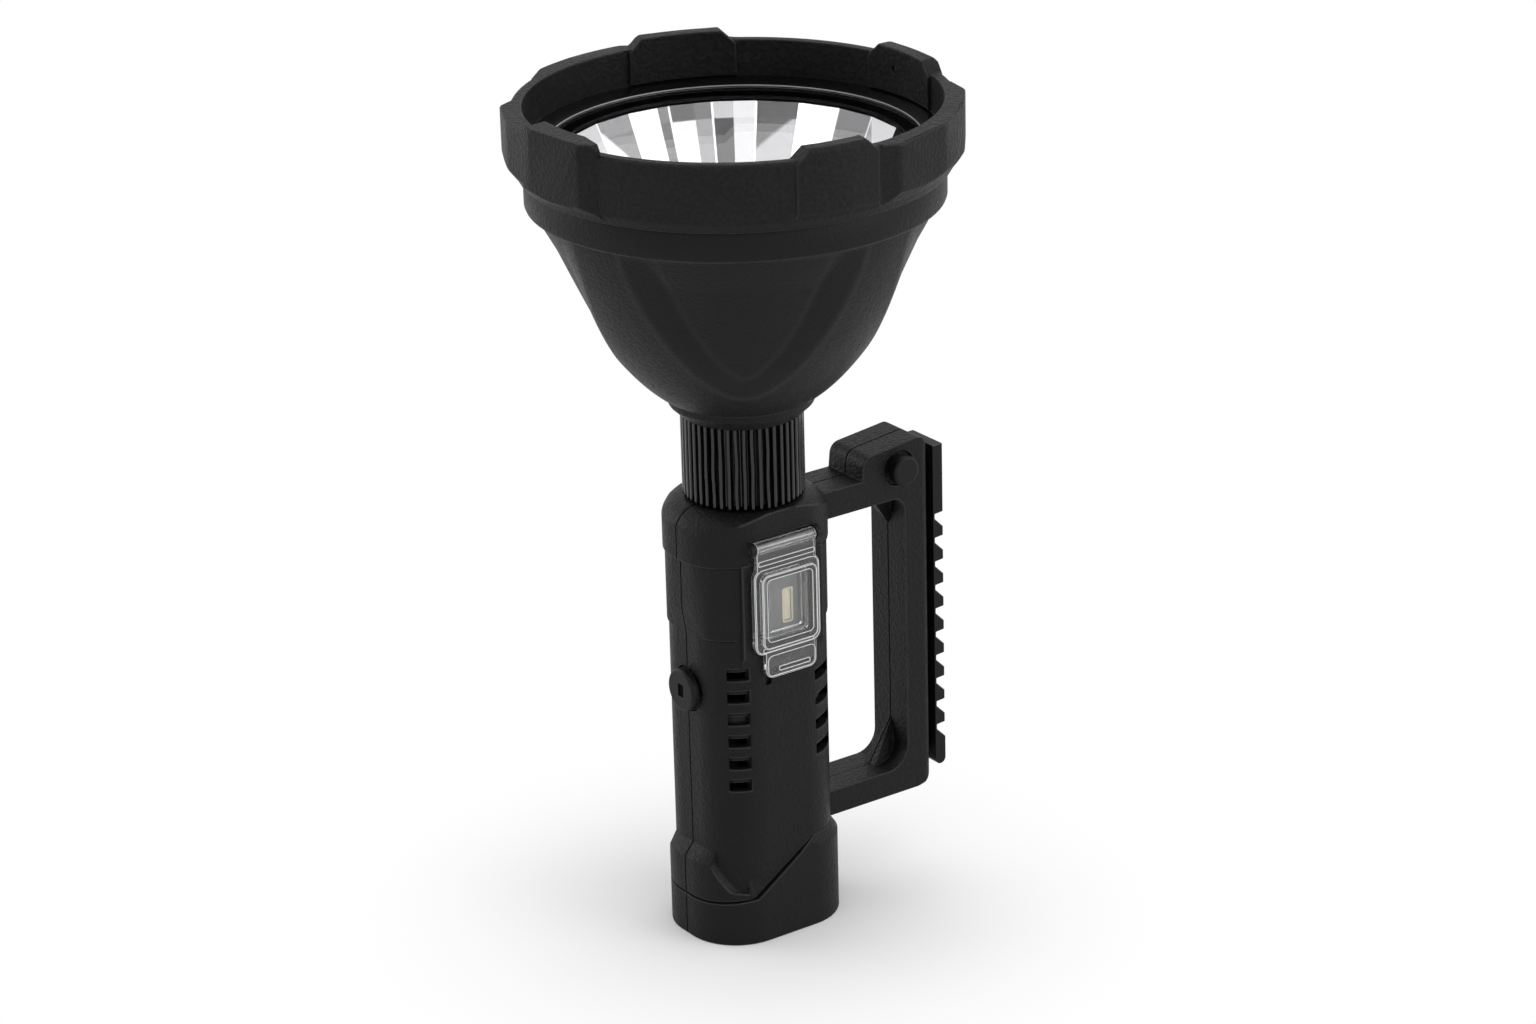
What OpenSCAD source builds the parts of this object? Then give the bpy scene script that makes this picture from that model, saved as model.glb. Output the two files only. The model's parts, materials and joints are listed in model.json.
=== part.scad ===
// Rechargeable hand lamp that stands on its own base, with a wide faceted head and a closed side handle.
// Millimetres. The origin is the centre of the base's underside. +Z runs up the lamp's axis to the lens,
// +X points to the handle, and -Y to the face that carries the charging socket and its clear door.

/* [Body] */
// Height of the moulded body, from the base to the seat of the neck
body_h = 136.6; // [133:0.1:140]
// Half width of the body from side to side
body_half_x = 22; // [21.5:0.1:23]
// Half depth of the body from front to back
body_half_y = 18.3; // [17.8:0.1:19.2]
// Radius of the body's upright corners
body_corner_r = 13.5; // [12:0.1:15]
// Wall of both body shells
wall = 2.6; // [2.3:0.1:2.9]
// Floor of both body shells
floor_t = 3; // [2.5:0.1:4]
// Height of the shoulder block that carries the neck
block_h = 15.5; // [14.5:0.1:17]
// How far the shoulder block stands out to the sides
block_grow_x = 2.4; // [1.8:0.1:3]
// How far the shoulder block stands out to the front and back
block_grow_y = 0.5; // [0.4:0.1:1]
// Fillet round the top of the shoulder block
block_fillet = 8; // [6:0.1:9]
// Thickness of the roof of the shoulder block
roof_t = 4.6; // [4:0.1:5.2]
// How far the sides stand out under the shoulder block
cheek_grow = 1.2; // [0.8:0.1:1.6]
// Height of those raised sides, with the slope below them
cheek_h = 23; // [18:0.5:26]

/* [Foot] */
// Height of the wider foot
foot_h = 29.6; // [28.5:0.1:31]
// How far the foot stands out to the sides
foot_grow_x = 3.1; // [2.5:0.1:3.6]
// How far the foot stands out to the front and back
foot_grow_y = 1.2; // [0.9:0.1:1.6]
// Height of the flare at the top of the foot
flare_h = 4; // [3:0.1:5]
// Thickness of the rubber bumpers over the foot
bumper_t = 1.8; // [1.4:0.1:2]
// Height of the bumper's edge on the side away from the handle
bumper_low_h = 14.6; // [12:0.1:16]
// Width of the groove along the bumper's edge
bumper_groove = 0.6; // [0.4:0.1:0.8]

/* [Neck] */
// Outer radius over the ribs of the neck
neck_r = 18; // [17.7:0.1:18.3]
// Height of the ribbed neck
neck_h = 25.5; // [23:0.1:28]
// Number of ribs round the neck
rib_count = 48; // [36:1:60]
// Depth of the grooves between the ribs
rib_depth = 1; // [0.6:0.1:1.4]
// Bore through the neck for the lamp's leads
neck_bore_r = 9; // [8.6:0.1:9.4]
// Height of the collar under the head
collar_h = 5.5; // [4:0.1:7]
// Outer radius of the collar
collar_r = 22; // [21:0.1:23]

/* [Head] */
// Height of the bell, from the collar to the band
bell_h = 59; // [56:0.5:63]
// How far the band at the top of the bell stands out past the bezel's bore
band_step = 0.7; // [0.5:0.1:1.1]
// Height of the band
band_h = 9; // [7:0.1:11]
// How far the band stands out over the bell
band_lip = 1.4; // [1:0.1:2]
// Wall of the bell, measured across the lamp's axis
head_wall = 3.4; // [3:0.1:4]
// Thickness of the bell's floor
head_floor_t = 3; // [2.5:0.1:4]
// Number of sunk panels round the bell
panel_count = 4; // [3:1:4]
// Direction of the first panel's centre, in degrees
panel_turn = 57.3; // [0:0.1:90]
// Half width of a panel at its top
panel_half_w = 34.8; // [30:0.1:36]
// Depth of the sunk panels
panel_depth = 2.2; // [1.5:0.1:2.4]
// Width of the sloping border of a sunk panel
panel_border = 7.5; // [5:0.1:9]

/* [Bezel] */
// Height of the bezel's plain rim
bezel_h = 20; // [18:0.1:22]
// Inner radius of the bezel
bezel_in_r = 59.5; // [59.2:0.1:59.8]
// Wall of the bezel's plain rim
bezel_wall = 3.7; // [3:0.1:4.5]
// How far the bumper pads stand out from the rim
pad_grow = 2.6; // [1.5:0.1:3.5]
// How far the lugs rise above the rim
lug_rise = 3; // [2:0.1:4]
// How far the lugs stand in from the rim's inner wall
lug_inset = 1.2; // [0.8:0.1:1.6]
// Radius of the bezel's set screws
set_screw_r = 1; // [0.8:0.1:1.3]

/* [Lens and reflector] */
// Thickness of the lens
lens_t = 2.5; // [2:0.1:4]
// Thickness of the seal under the lens
seal_t = 1; // [0.8:0.1:1.5]
// Thickness of the ring that holds the lens
ring_t = 2; // [1.5:0.1:3]
// Width of the overlap of that ring on the lens
ring_lip = 2.6; // [2:0.1:3.5]
// Wall of the spigot round the lens
spigot_wall = 3.2; // [2.8:0.1:3.6]
// Radius of the reflector's mouth
mouth_r = 49; // [47:0.1:50]
// Wall of the reflector
reflector_t = 1.5; // [1.2:0.1:2]
// Number of facets round the reflector
facet_count = 24; // [16:2:32]
// Radius of the hole in the reflector for the light source
emitter_hole_r = 5; // [4.5:0.1:6]
// Height of the heat sink under the light source
sink_h = 17; // [15:0.1:20]
// Radius of the heat sink
sink_r = 20; // [18:0.1:21]
// Number of fins round the heat sink
fin_count = 16; // [10:1:20]

/* [Handle] */
// Distance from the lamp's axis to the outer face of the grip
handle_reach = 61.5; // [59:0.1:65]
// Thickness of the grip, front to back of the hand
grip_w = 9.5; // [8.5:0.1:11]
// Half depth of the handle from front to back
handle_half_y = 8.5; // [8:0.1:9.5]
// Height of the underside of the lower arm
lower_arm_z = 27.6; // [26:0.1:28.4]
// Thickness of the lower arm
lower_arm_h = 8.3; // [7:0.1:9.5]
// Thickness of the upper arm
upper_arm_h = 8.7; // [8:0.1:9.5]
// Distance from the top of the body down to the top of the upper arm
upper_arm_drop = 4; // [3.5:0.1:5]
// Length of the raised switch housing at the top of the grip
housing_len = 25; // [24:0.1:27]
// Rise of the switch housing above the upper arm
housing_rise = 9.5; // [9:0.1:11]
// Corner radius at the foot of the grip
grip_corner_r = 6; // [4:0.1:8]
// Height of the gusset in the lower corner of the finger opening
gusset_h = 15; // [12:0.5:17]
// Length of both gussets along the arms
gusset_len = 9; // [7:0.1:11]
// Half width of both gussets
gusset_half_y = 2.9; // [2:0.1:4]

/* [Rail] */
// Half width of the toothed rail
rail_half_y = 7.2; // [6:0.1:7.8]
// Width of the neck between the grip and the rail
rail_neck_w = 2.2; // [1.5:0.1:3]
// Half thickness of that neck from front to back
rail_neck_half_y = 3.4; // [2.6:0.1:4.4]
// Thickness of the rail
rail_t = 3.7; // [3.2:0.1:5]
// Number of notches in the rail
notch_count = 10; // [6:1:11]
// Distance from one notch to the next
notch_pitch = 7.7; // [6.5:0.1:7.8]
// Depth of a notch
notch_depth = 3; // [2:0.1:3.2]
// Radius of the screws that hold the rail
rail_screw_r = 1.2; // [1:0.1:1.4]
// Distance from the middle one of those screws to the others
rail_screw_pitch = 32; // [26:0.5:34]

/* [Charging door] */
// Half width of the clear door
door_half_w = 11.6; // [11.3:0.1:12]
// Height of the door's frame
door_h = 27; // [26:0.1:28]
// Thickness of the door's frame
door_t = 1.6; // [1.4:0.1:2]
// How far the door's window bulges out
door_bulge = 1.4; // [1:0.1:2]
// Height of the finger tab under the door
tab_h = 8; // [6:0.1:9]
// Radius of the door's hinge pin
hinge_pin_r = 0.9; // [0.8:0.05:1]
// Radius of the door's hinge barrel
hinge_barrel_r = 1.9; // [1.8:0.05:2.1]
// Half width of the window in front of the socket
window_half_w = 8; // [7.5:0.1:8.3]
// Height of that window
window_h = 21; // [19.5:0.1:22]
// Width of the charging slot
slot_w = 4; // [3.6:0.1:4.6]
// Height of the charging slot
slot_h = 11.2; // [10:0.1:12]
// Thickness of the grey socket panel
panel_t = 1.6; // [1.2:0.1:2]

/* [Buttons] */
// Radius of the side button
side_button_r = 6.6; // [6:0.1:7]
// How far the side button stands out
side_button_out = 2.8; // [2.4:0.1:3.6]
// Travel of the side button
side_travel = 1.2; // [0.8:0.1:1.4]
// Height of the side button's axis above the battery holder
side_button_rise = 4.7; // [4.2:0.1:6]
// Radius of the handle button
handle_button_r = 4.6; // [4:0.1:4.9]
// How far the handle button stands out
handle_button_out = 4; // [3.5:0.1:5]
// Travel of the handle button
handle_travel = 1.8; // [1.2:0.1:2]

/* [Vents] */
// Number of slots on the corner away from the handle
vent_count = 6; // [4:1:6]
// Distance from one of those slots to the next
vent_pitch = 7.1; // [5.5:0.1:7.3]
// Number of slots on the corner by the handle
handle_vent_count = 4; // [3:1:4]
// Distance from one of those slots to the next
handle_vent_pitch = 8; // [6:0.1:8.2]
// Height of a slot
vent_h = 3.7; // [2.5:0.1:4]
// Depth of a slot's blind upper part
vent_depth = 1.3; // [1:0.1:1.8]
// Height of a slot's lower part, which opens into the body
vent_open_h = 2.2; // [1.5:0.1:2.6]

/* [Battery] */
// Radius of a round cell
cell_r = 9.1; // [8.8:0.1:9.3]
// Length of a round cell
cell_len = 65; // [62:0.5:66]
// Thickness of each end tray of the battery holder
tray_t = 4; // [3:0.1:4.4]

/* [Screws] */
// Radius of the body screws' shanks
screw_r = 1.4; // [1.2:0.1:1.6]
// Radius of the body screws' heads
screw_head_r = 2.6; // [2.4:0.1:3]

/* [Fits] */
// Clearance of pieces that are put together and stay
slip = 0.1; // [0.05:0.05:0.2]
// Radial clearance of pins and stems that move
running = 0.06; // [0.03:0.01:0.1]
// Clearance between moving pieces that do not touch
apart = 0.4; // [0.3:0.05:0.5]

/* [Hidden] */
$fn = 96;

plastic_black = [0.10, 0.10, 0.11];
rubber_black = [0.07, 0.07, 0.07];
metal_bright = [0.82, 0.83, 0.85];
board_green = [0.10, 0.32, 0.18];
clear_plastic = [0.85, 0.90, 0.95, 0.35];

// A length past every piece of the body, for cuts that go right through
beyond = handle_reach + body_h;

// Heights of the stacked pieces
neck_z = body_h;
collar_z = neck_z + neck_h;
bell_z = collar_z + collar_h;
head_r = bezel_in_r + band_step;
bell_r = head_r - band_lip;
band_z = bell_z + bell_h;
bezel_z = band_z + band_h;
rim_z = bezel_z + bezel_h;

// Shoulder block and foot
block_z = body_h - block_h;
block_half_x = body_half_x + block_grow_x;
block_half_y = body_half_y + block_grow_y;
foot_half_x = body_half_x + foot_grow_x;
foot_half_y = body_half_y + foot_grow_y;
scoop_y = body_half_y - 8;
cavity_top = body_h - roof_t;

// Neck spigots and flange
spigot_low_r = neck_r - 3.7;
flange_r = min(spigot_low_r + 1.4, body_half_y - wall - slip);
flange_h = 3;
spigot_high_r = neck_bore_r + 3;
socket_deep = 5;

// Seats in the head
ledge_z = bezel_z + 2;
flange_t = 1.5;
lens_z = ledge_z + flange_t + seal_t;
ring_z = lens_z + lens_t;
spigot_r = bezel_in_r - slip;
spigot_in_r = spigot_r - spigot_wall;
lens_r = spigot_in_r - slip;
sink_z = bell_z + head_floor_t;
board_t = 1.6;
source_z = sink_z + sink_h + board_t;
source_board_r = 10;

// Bezel pads: the angles of the corners of their flat faces, with the foot of a ramp at either end
pads = [[83, 86, 99, 113, 121], [142, 146, 161, 176, 194.5, 199.4], [275, 279.4, 298.4, 314, 328, 335]];
// Bezel lugs, in degrees: centre and half width
lugs = [[358, 11], [70, 12], [262, 9]];
pad_lug = [186, 13];
set_screw_turns = [2, 182];
rim_r = bezel_in_r + bezel_wall;
pad_r = rim_r + pad_grow;
bezel_low_r = head_r + 1.2;

// Handle
lower_arm_top = lower_arm_z + lower_arm_h;
upper_arm_top = body_h - upper_arm_drop;
upper_arm_z = upper_arm_top - upper_arm_h;
grip_in_x = handle_reach - grip_w;
housing_top = upper_arm_top + housing_rise;
housing_x = handle_reach - housing_len;
button_x = handle_reach - 11.3;
button_z = upper_arm_top + 1.1;
handle_wall = 3.4;
lead_z = upper_arm_z + 2.6;
lead_r = 1;
lead_x = 4;
lead_drop = 8;
switch_room_x = housing_x + handle_wall + 4;

// Rail
rail_x = handle_reach + rail_neck_w;
rail_low = lower_arm_z + 4.6;
rail_high = housing_top - 5;
rail_end = 5;
// Skin in front of the rail's screws, and how far these enter the rail's strip
rail_screw_cover = 2;
rail_screw_bite = 0.4;
// How far the switch's lead enters the room of its switch
switch_lead_end = 2;
notch_top_z = rail_high - 22;

// Battery
cell_x = cell_r + 0.2;
contact_t = 0.4;
contact_r = 5;
cup_deep = 1;
cell_z = floor_t + tray_t - cup_deep + contact_t;
tray_high_z = cell_z + cell_len + contact_t - cup_deep;
tray_top = tray_high_z + tray_t;

// Charging door and socket, from the hinge down
hinge_y = -(block_half_y + 0.5);
hinge_z = block_z + 5.6;
strip_half_w = door_half_w - 1.2;
pad_half_w = door_half_w + 2.7;
pad_y = -(body_half_y + 0.3);
door_in_y = pad_y - apart;
door_out_y = door_in_y - door_t;
door_top = block_z - 0.6;
door_low = door_top - door_h;
window_z = (door_top + door_low) / 2 + 0.8;
inner_y = -(body_half_y - wall);
panel_in_y = inner_y + panel_t;
slot_x = 3.1;
slot_z = window_z - 2.9;
socket_half_w = body_half_x - body_corner_r;
board_y = inner_y + 7;
board_half_w = 12;
post_r = 1.8;
board_low = tray_top + 11.8;
board_high = block_z + 6.2;

// Vents, across the body and up to the first slot
vent_in_x = body_half_x - 9.8;
vent_out_x = body_half_x - 4;
handle_vent_in_x = body_half_x - 11;
vent_top_z = door_low - 8;
handle_vent_top_z = vent_top_z - 6.4;

// Side button
side_x = -body_half_x;
side_button_z = tray_top + side_button_rise;
stem_r = 3;
stem_head_r = 4.2;

// Body screws: sideways and upward places of their axes
boss_r = screw_r + 1.8;
boss_x = board_half_w + boss_r + 0.6;
boss_low_z = board_low + 8;
boss_high_z = block_z - 4;
grip_mid_x = handle_reach - grip_w / 2;
grip_mid_z = (lower_arm_top + upper_arm_z) / 2;
screw_places = [
    [-boss_x, boss_low_z], [boss_x, boss_low_z], [-boss_x, boss_high_z], [boss_x, boss_high_z],
    [(body_half_x + grip_in_x) / 2, lower_arm_z + lower_arm_h / 2],
    [grip_mid_x, grip_mid_z - 18], [grip_mid_x, grip_mid_z + 18]
];
rail_screw_places = [for (i = [-1 : 1]) grip_mid_z + i * rail_screw_pitch];

// Smooth curve through four control points, as a list of points
function bezier(a, b, c, d, n) = [
    for (i = [0 : n])
        let (t = i / n, s = 1 - t)
            s * s * s * a + 3 * s * s * t * b + 3 * s * t * t * c + t * t * t * d
];

// Points along an arc, with angles in degrees
function arc(cx, cy, r, from, to, n = 8) = [
    for (i = [0 : n])
        let (a = from + (to - from) * i / n)
            [cx + r * cos(a), cy + r * sin(a)]
];

// Outline of the bell from the collar to the band, moved in by a distance and sunk as its panels are
bell_steps = 14;
function bell_curve(inset, sunk = 0) = bezier(
    [collar_r - inset, bell_z], [collar_r + 13.8 - inset + sunk * 0.3, bell_z + 8],
    [bell_r - 6.3 - inset - sunk * 2, band_z - 22], [bell_r - inset - sunk * 0.6, band_z], bell_steps
);

// Inside of the bell, from the band down to the heat sink's seat
function bell_inside() = [
    for (i = [bell_steps : -1 : 0])
        let (p = bell_curve(head_wall, panel_depth)[i])
            if (p[1] > sink_z && p[0] > sink_r + 0.5) p
];

// Rectangle with round corners, given by its half widths
module round_rect(half_x, half_y, r) {
    square([2 * half_x - 2 * r, 2 * half_y], center = true);
    square([2 * half_x, 2 * half_y - 2 * r], center = true);
    for (x = [-1, 1], y = [-1, 1])
        translate([x * (half_x - r), y * (half_y - r)])
            circle(r);
}

// Upright column with round corners between two heights
module column(half_x, half_y, r, low, high) {
    translate([0, 0, low])
        linear_extrude(high - low)
            round_rect(half_x, half_y, r);
}

// Outline drawn in X and Z, given thickness from one Y to another
module slab(from_y, to_y) {
    translate([0, to_y, 0])
        rotate([90, 0, 0])
            linear_extrude(to_y - from_y)
                children();
}

// Rod along X, Y or Z between two places
module rod_x(r, from_x, to_x, y, z) {
    translate([from_x, y, z])
        rotate([0, 90, 0])
            cylinder(r = r, h = to_x - from_x);
}

module rod_y(r, x, from_y, to_y, z) {
    translate([x, from_y, z])
        rotate([-90, 0, 0])
            cylinder(r = r, h = to_y - from_y);
}

module rod_z(r, from_z, to_z) {
    translate([0, 0, from_z])
        cylinder(r = r, h = to_z - from_z);
}

// Box between two corners
module box(low, high) {
    translate(low)
        cube(high - low);
}

// Foot with its flare
module foot_form(inset) {
    column(foot_half_x - inset, foot_half_y - inset, body_corner_r + 3 - inset, 0, foot_h - flare_h);
    hull($fn = 32) {
        column(foot_half_x - inset, foot_half_y - inset, body_corner_r + 3 - inset,
            foot_h - flare_h - 0.1, foot_h - flare_h);
        column(body_half_x - inset, body_half_y - inset, body_corner_r - inset, foot_h - 0.1, foot_h);
    }
}

// Region that the bumpers cover, seen from the front: low on one side, high towards the handle
module bumper_region(grow) {
    slab(-foot_half_y - 1, foot_half_y + 1)
        polygon([
            [-foot_half_x - 1, -1], [foot_half_x + 1, -1], [foot_half_x + 1, foot_h + 1],
            [9.5 - grow, foot_h + 1], [9.5 - grow, foot_h], [-12 - grow, bumper_low_h + grow],
            [-foot_half_x - 1, bumper_low_h - 1.5 + grow]
        ]);
}

// Outline drawn in Y and Z, given thickness from one X to another
module side_slab(from_x, to_x) {
    translate([from_x, 0, 0])
        rotate([90, 0, 90])
            linear_extrude(to_x - from_x)
                children();
}

// Part of the foot's front, back and corners that lies back at the body's own surface
module foot_scoops() {
    for (side = [-1, 1])
        slab(side > 0 ? -pad_y : -foot_half_y - 1, side > 0 ? foot_half_y + 1 : pad_y)
            polygon([[-pad_half_w - 1, foot_h + 1], [-pad_half_w - 1, bumper_low_h],
                [-12, bumper_low_h], [9.5, foot_h], [9.5, foot_h + 1]]);
    difference() {
        side_slab(-foot_half_x - 1, -pad_half_w)
            for (side = [-1, 1])
                polygon([[side * scoop_y, foot_h + 1], [side * scoop_y, foot_h - 4],
                    [side * (scoop_y + 5), bumper_low_h + 3],
                    [side * (foot_half_y + 1), bumper_low_h + 1.5], [side * (foot_half_y + 1), foot_h + 1]]);
        column(body_half_x, body_half_y, body_corner_r, 0, foot_h + 2);
    }
}

// Raised sides under the shoulder block, which slope back to the body
module cheeks() {
    low = block_z - cheek_h;
    intersection() {
        column(body_half_x + cheek_grow, body_half_y, body_corner_r + cheek_grow, low, block_z + 1);
        slab(-body_half_y, body_half_y)
            polygon([[-body_half_x, low], [body_half_x, low], [body_half_x + cheek_grow, low + 7],
                [body_half_x + cheek_grow, block_z + 1], [-body_half_x - cheek_grow, block_z + 1],
                [-body_half_x - cheek_grow, low + 7]]);
    }
}

// Shoulder block with its fillet
module block_form() {
    intersection() {
        column(block_half_x, block_half_y, body_corner_r + 3, block_z, body_h);
        rotate_extrude()
            polygon(concat([[0, block_z - 1], [block_half_x + 0.5, block_z - 1]],
                arc(block_half_x + 0.5 - block_fillet, body_h - block_fillet, block_fillet, 0, 90, 6),
                    [[0, body_h]]));
    }
}

// Flat panels of the front and back, between the round corners
module flat_panels() {
    for (side = [-1, 1])
        slab(side > 0 ? 0 : pad_y, side > 0 ? -pad_y : 0)
            translate([-pad_half_w, foot_h - flare_h - 12])
                square([2 * pad_half_w, block_z - foot_h + flare_h + 13]);
}

// Side view of the handle, with its finger opening
module handle_outline() {
    difference() {
        polygon(concat(
            [[0, lower_arm_z]],
            arc(handle_reach - grip_corner_r, lower_arm_z + grip_corner_r, grip_corner_r, -90, 0),
            arc(handle_reach - 6, housing_top - 6, 6, 0, 75),
            arc(housing_x + 4, housing_top - 5.6, 3.6, 95, 175, 6),
            [[housing_x, upper_arm_top], [0, upper_arm_top]]
        ));
        polygon(concat(
            [[0, lower_arm_top]],
            arc(grip_in_x - 7, lower_arm_top + 7, 7, -90, 0),
            arc(grip_in_x - 4, upper_arm_z - 4, 4, 0, 90),
            [[0, upper_arm_z]]
        ));
    }
}

// Pyramid in a corner of the finger opening, from an arm's face to a point on the grip
module gusset(arm_z, tip_z) {
    low_x = grip_in_x - gusset_len;
    high_x = grip_in_x + 1;
    rising = [[0, 1, 2, 3], [0, 4, 1], [1, 4, 2], [2, 4, 3], [3, 4, 0]];
    falling = [for (f = rising) [for (i = [len(f) - 1 : -1 : 0]) f[i]]];
    polyhedron(
        [[low_x, -gusset_half_y, arm_z], [high_x, -gusset_half_y, arm_z], [high_x, gusset_half_y, arm_z],
            [low_x, gusset_half_y, arm_z], [high_x, 0, tip_z]],
        tip_z > arm_z ? rising : falling
    );
}

// Handle with the round outer edges of its grip
module handle_form() {
    intersection() {
        slab(-handle_half_y, handle_half_y)
            handle_outline();
        column(handle_reach, handle_half_y, 3, lower_arm_z - 1, housing_top + 1);
    }
    gusset(lower_arm_top - 1, lower_arm_top + gusset_h);
    gusset(upper_arm_z + 1, upper_arm_z - gusset_h + 3);
}

// Bosses that meet at the seam and take the body screws
module screw_bosses() {
    intersection() {
        for (p = screw_places)
            if (abs(p[0]) < body_half_x)
                rod_y(boss_r, p[0], -body_half_y, body_half_y, p[1]);
        column(body_half_x - wall / 2, body_half_y - wall / 2, body_corner_r - wall / 2, floor_t, block_z);
    }
}

// Inside of the body
module cavity() {
    column(body_half_x - wall, body_half_y - wall, body_corner_r - wall, floor_t, cavity_top);
    rod_z(spigot_low_r + slip, cavity_top - 1, body_h + 1);
    // Room for the switch in the handle, and the way of its lead
    box([switch_room_x, -handle_half_y + handle_wall, upper_arm_z + handle_wall - 2],
        [handle_reach - handle_wall, handle_half_y - handle_wall, housing_top - handle_wall]);
    rod_x(lead_r + slip, 0, switch_room_x + 1, 0, lead_z);
    // Side button: its recess and the bore of its stem
    rod_x(side_button_r + apart, side_x - 1, side_x + side_travel + apart - 0.4, 0, side_button_z);
    rod_x(stem_r + running, side_x - 1, side_x + wall + 1, 0, side_button_z);
    // Screws that hold the rail
    for (z = rail_screw_places)
        rod_x(rail_screw_r + slip, grip_in_x + rail_screw_cover, handle_reach + 1, 0, z);
}

// Both body shells together, before they are split at the seam
module body_form() {
    difference() {
        union() {
            difference() {
                union() {
                    foot_form(0);
                    column(body_half_x, body_half_y, body_corner_r, foot_h - flare_h, foot_h);
                    flat_panels();
                }
                bumper_region(bumper_groove);
                foot_scoops();
            }
            foot_form(bumper_t + slip);
            column(body_half_x, body_half_y, body_corner_r, foot_h, block_z + 1);
            cheeks();
            block_form();
            handle_form();
        }
        cavity();
    }
}

// Slots of a height and depth that wrap round the front's upright corners
module vent_row(height, depth) {
    intersection() {
        union() {
            for (i = [0 : vent_count - 1])
                box([-vent_out_x, -body_half_y - 1, vent_top_z - i * vent_pitch],
                    [-vent_in_x, 0, vent_top_z - i * vent_pitch + height]);
            for (i = [0 : handle_vent_count - 1])
                box([handle_vent_in_x, -body_half_y - 1, handle_vent_top_z - i * handle_vent_pitch],
                    [body_half_x - 3, 0, handle_vent_top_z - i * handle_vent_pitch + height]);
        }
        difference() {
            column(body_half_x + 2, body_half_y + 2, body_corner_r, foot_h, block_z);
            column(body_half_x - depth, body_half_y - depth, body_corner_r - depth, foot_h, block_z);
        }
    }
}

// Slots that are blind above and open below
module vents() {
    vent_row(vent_h, vent_depth);
    vent_row(vent_open_h, wall + 1);
}

// Ears and pocket of the door's hinge
module hinge_ears() {
    for (side = [-1, 1])
        intersection() {
            union() {
                rod_x(hinge_barrel_r + 0.2, -strip_half_w - 2, strip_half_w + 2, hinge_y, hinge_z);
                box([-strip_half_w - 2, hinge_y, hinge_z - hinge_barrel_r - 0.2],
                    [strip_half_w + 2, hinge_y + 3, hinge_z + hinge_barrel_r + 0.2]);
            }
            box([side > 0 ? strip_half_w + apart : -strip_half_w - 2, hinge_y - 3, hinge_z - 4],
                [side > 0 ? strip_half_w + 2 : -strip_half_w - apart, hinge_y + 4, hinge_z + 4]);
        }
}

module body_front_shell() {
    color(plastic_black)
        difference() {
            union() {
                intersection() {
                    body_form();
                    box([-beyond, -beyond, -1], [beyond, 0, beyond]);
                }
                hinge_ears();
                // Bosses for the screws and posts for the board
                intersection() {
                    screw_bosses();
                    box([-beyond, -beyond, 0], [beyond, 0, beyond]);
                }
                for (side = [-1, 1])
                    rod_y(post_r, side * (socket_half_w + post_r + apart), inner_y - 1, board_y,
                        board_low + 4);
            }
            vents();
            // Pocket of the hinge and the pin's bores
            rod_x(hinge_barrel_r + apart, -strip_half_w - apart, strip_half_w + apart, hinge_y, hinge_z);
            box([-strip_half_w - apart, -block_half_y - 1, door_top - 2],
                [strip_half_w + apart, door_in_y + apart, hinge_z]);
            rod_x(hinge_pin_r, -strip_half_w - 3, strip_half_w + 3, hinge_y, hinge_z);
            // Window in front of the socket, and the catch of the door's tab
            slab(pad_y - 1, inner_y + 1)
                translate([0, window_z])
                    round_rect(window_half_w, window_h / 2, 1.5);
            slab(pad_y - 1, pad_y + 1.2)
                translate([-6, door_low - tab_h - 1.2])
                    round_rect(1, 1.6, 0.5);
            // Handle button: its recess and the bore of its stem
            rod_y(handle_button_r + apart + 0.5, button_x, -handle_half_y - 1, -handle_half_y + 1.4,
                button_z);
            rod_y(2.4 + running, button_x, -handle_half_y, 0, button_z);
            // Pilot holes of the screws
            for (p = screw_places)
                rod_y(screw_r, p[0], -6, 1, p[1]);
        }
}

module body_rear_shell() {
    color(plastic_black)
        difference() {
            union() {
                intersection() {
                    body_form();
                    box([-beyond, 0, -1], [beyond, beyond, beyond]);
                }
                intersection() {
                    screw_bosses();
                    box([-beyond, 0, 0], [beyond, beyond, beyond]);
                }
            }
            // Screw holes and the seats of their heads
            for (p = screw_places) {
                rod_y(screw_r + slip, p[0], -1, beyond, p[1]);
                rod_y(screw_head_r + slip, p[0], screw_seat_y(p), beyond, p[1]);
            }
        }
}

// Seat of a screw's head under the back face that it enters
function screw_seat_y(p) =
    (abs(p[0]) < body_half_x ? corner_y(abs(p[0]) + screw_head_r) : handle_half_y) - 2.3;

// Depth of the body's round corner at a place across its width
function corner_y(x) = body_half_y - body_corner_r
    + sqrt(pow(body_corner_r, 2) - pow(max(0, x - body_half_x + body_corner_r), 2));

module foot_bumper(front) {
    intersection() {
        difference() {
            foot_form(0);
            foot_form(bumper_t);
            foot_scoops();
            // Room for the lower arm of the handle
            box([0, -handle_half_y - slip, lower_arm_z - slip],
                [handle_reach, handle_half_y + slip, foot_h + 1]);
        }
        bumper_region(0);
        box([-beyond, front ? -beyond : 0, 0], [beyond, front ? 0 : beyond, foot_h - slip]);
    }
}

module foot_bumper_front() {
    color(rubber_black)
        foot_bumper(true);
}

module foot_bumper_rear() {
    color(rubber_black)
        foot_bumper(false);
}

module body_screws() {
    color(metal_bright)
        for (p = screw_places) {
            rod_y(screw_r, p[0], -5.5, screw_seat_y(p), p[1]);
            rod_y(screw_head_r, p[0], screw_seat_y(p), screw_seat_y(p) + 2, p[1]);
        }
}

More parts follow.
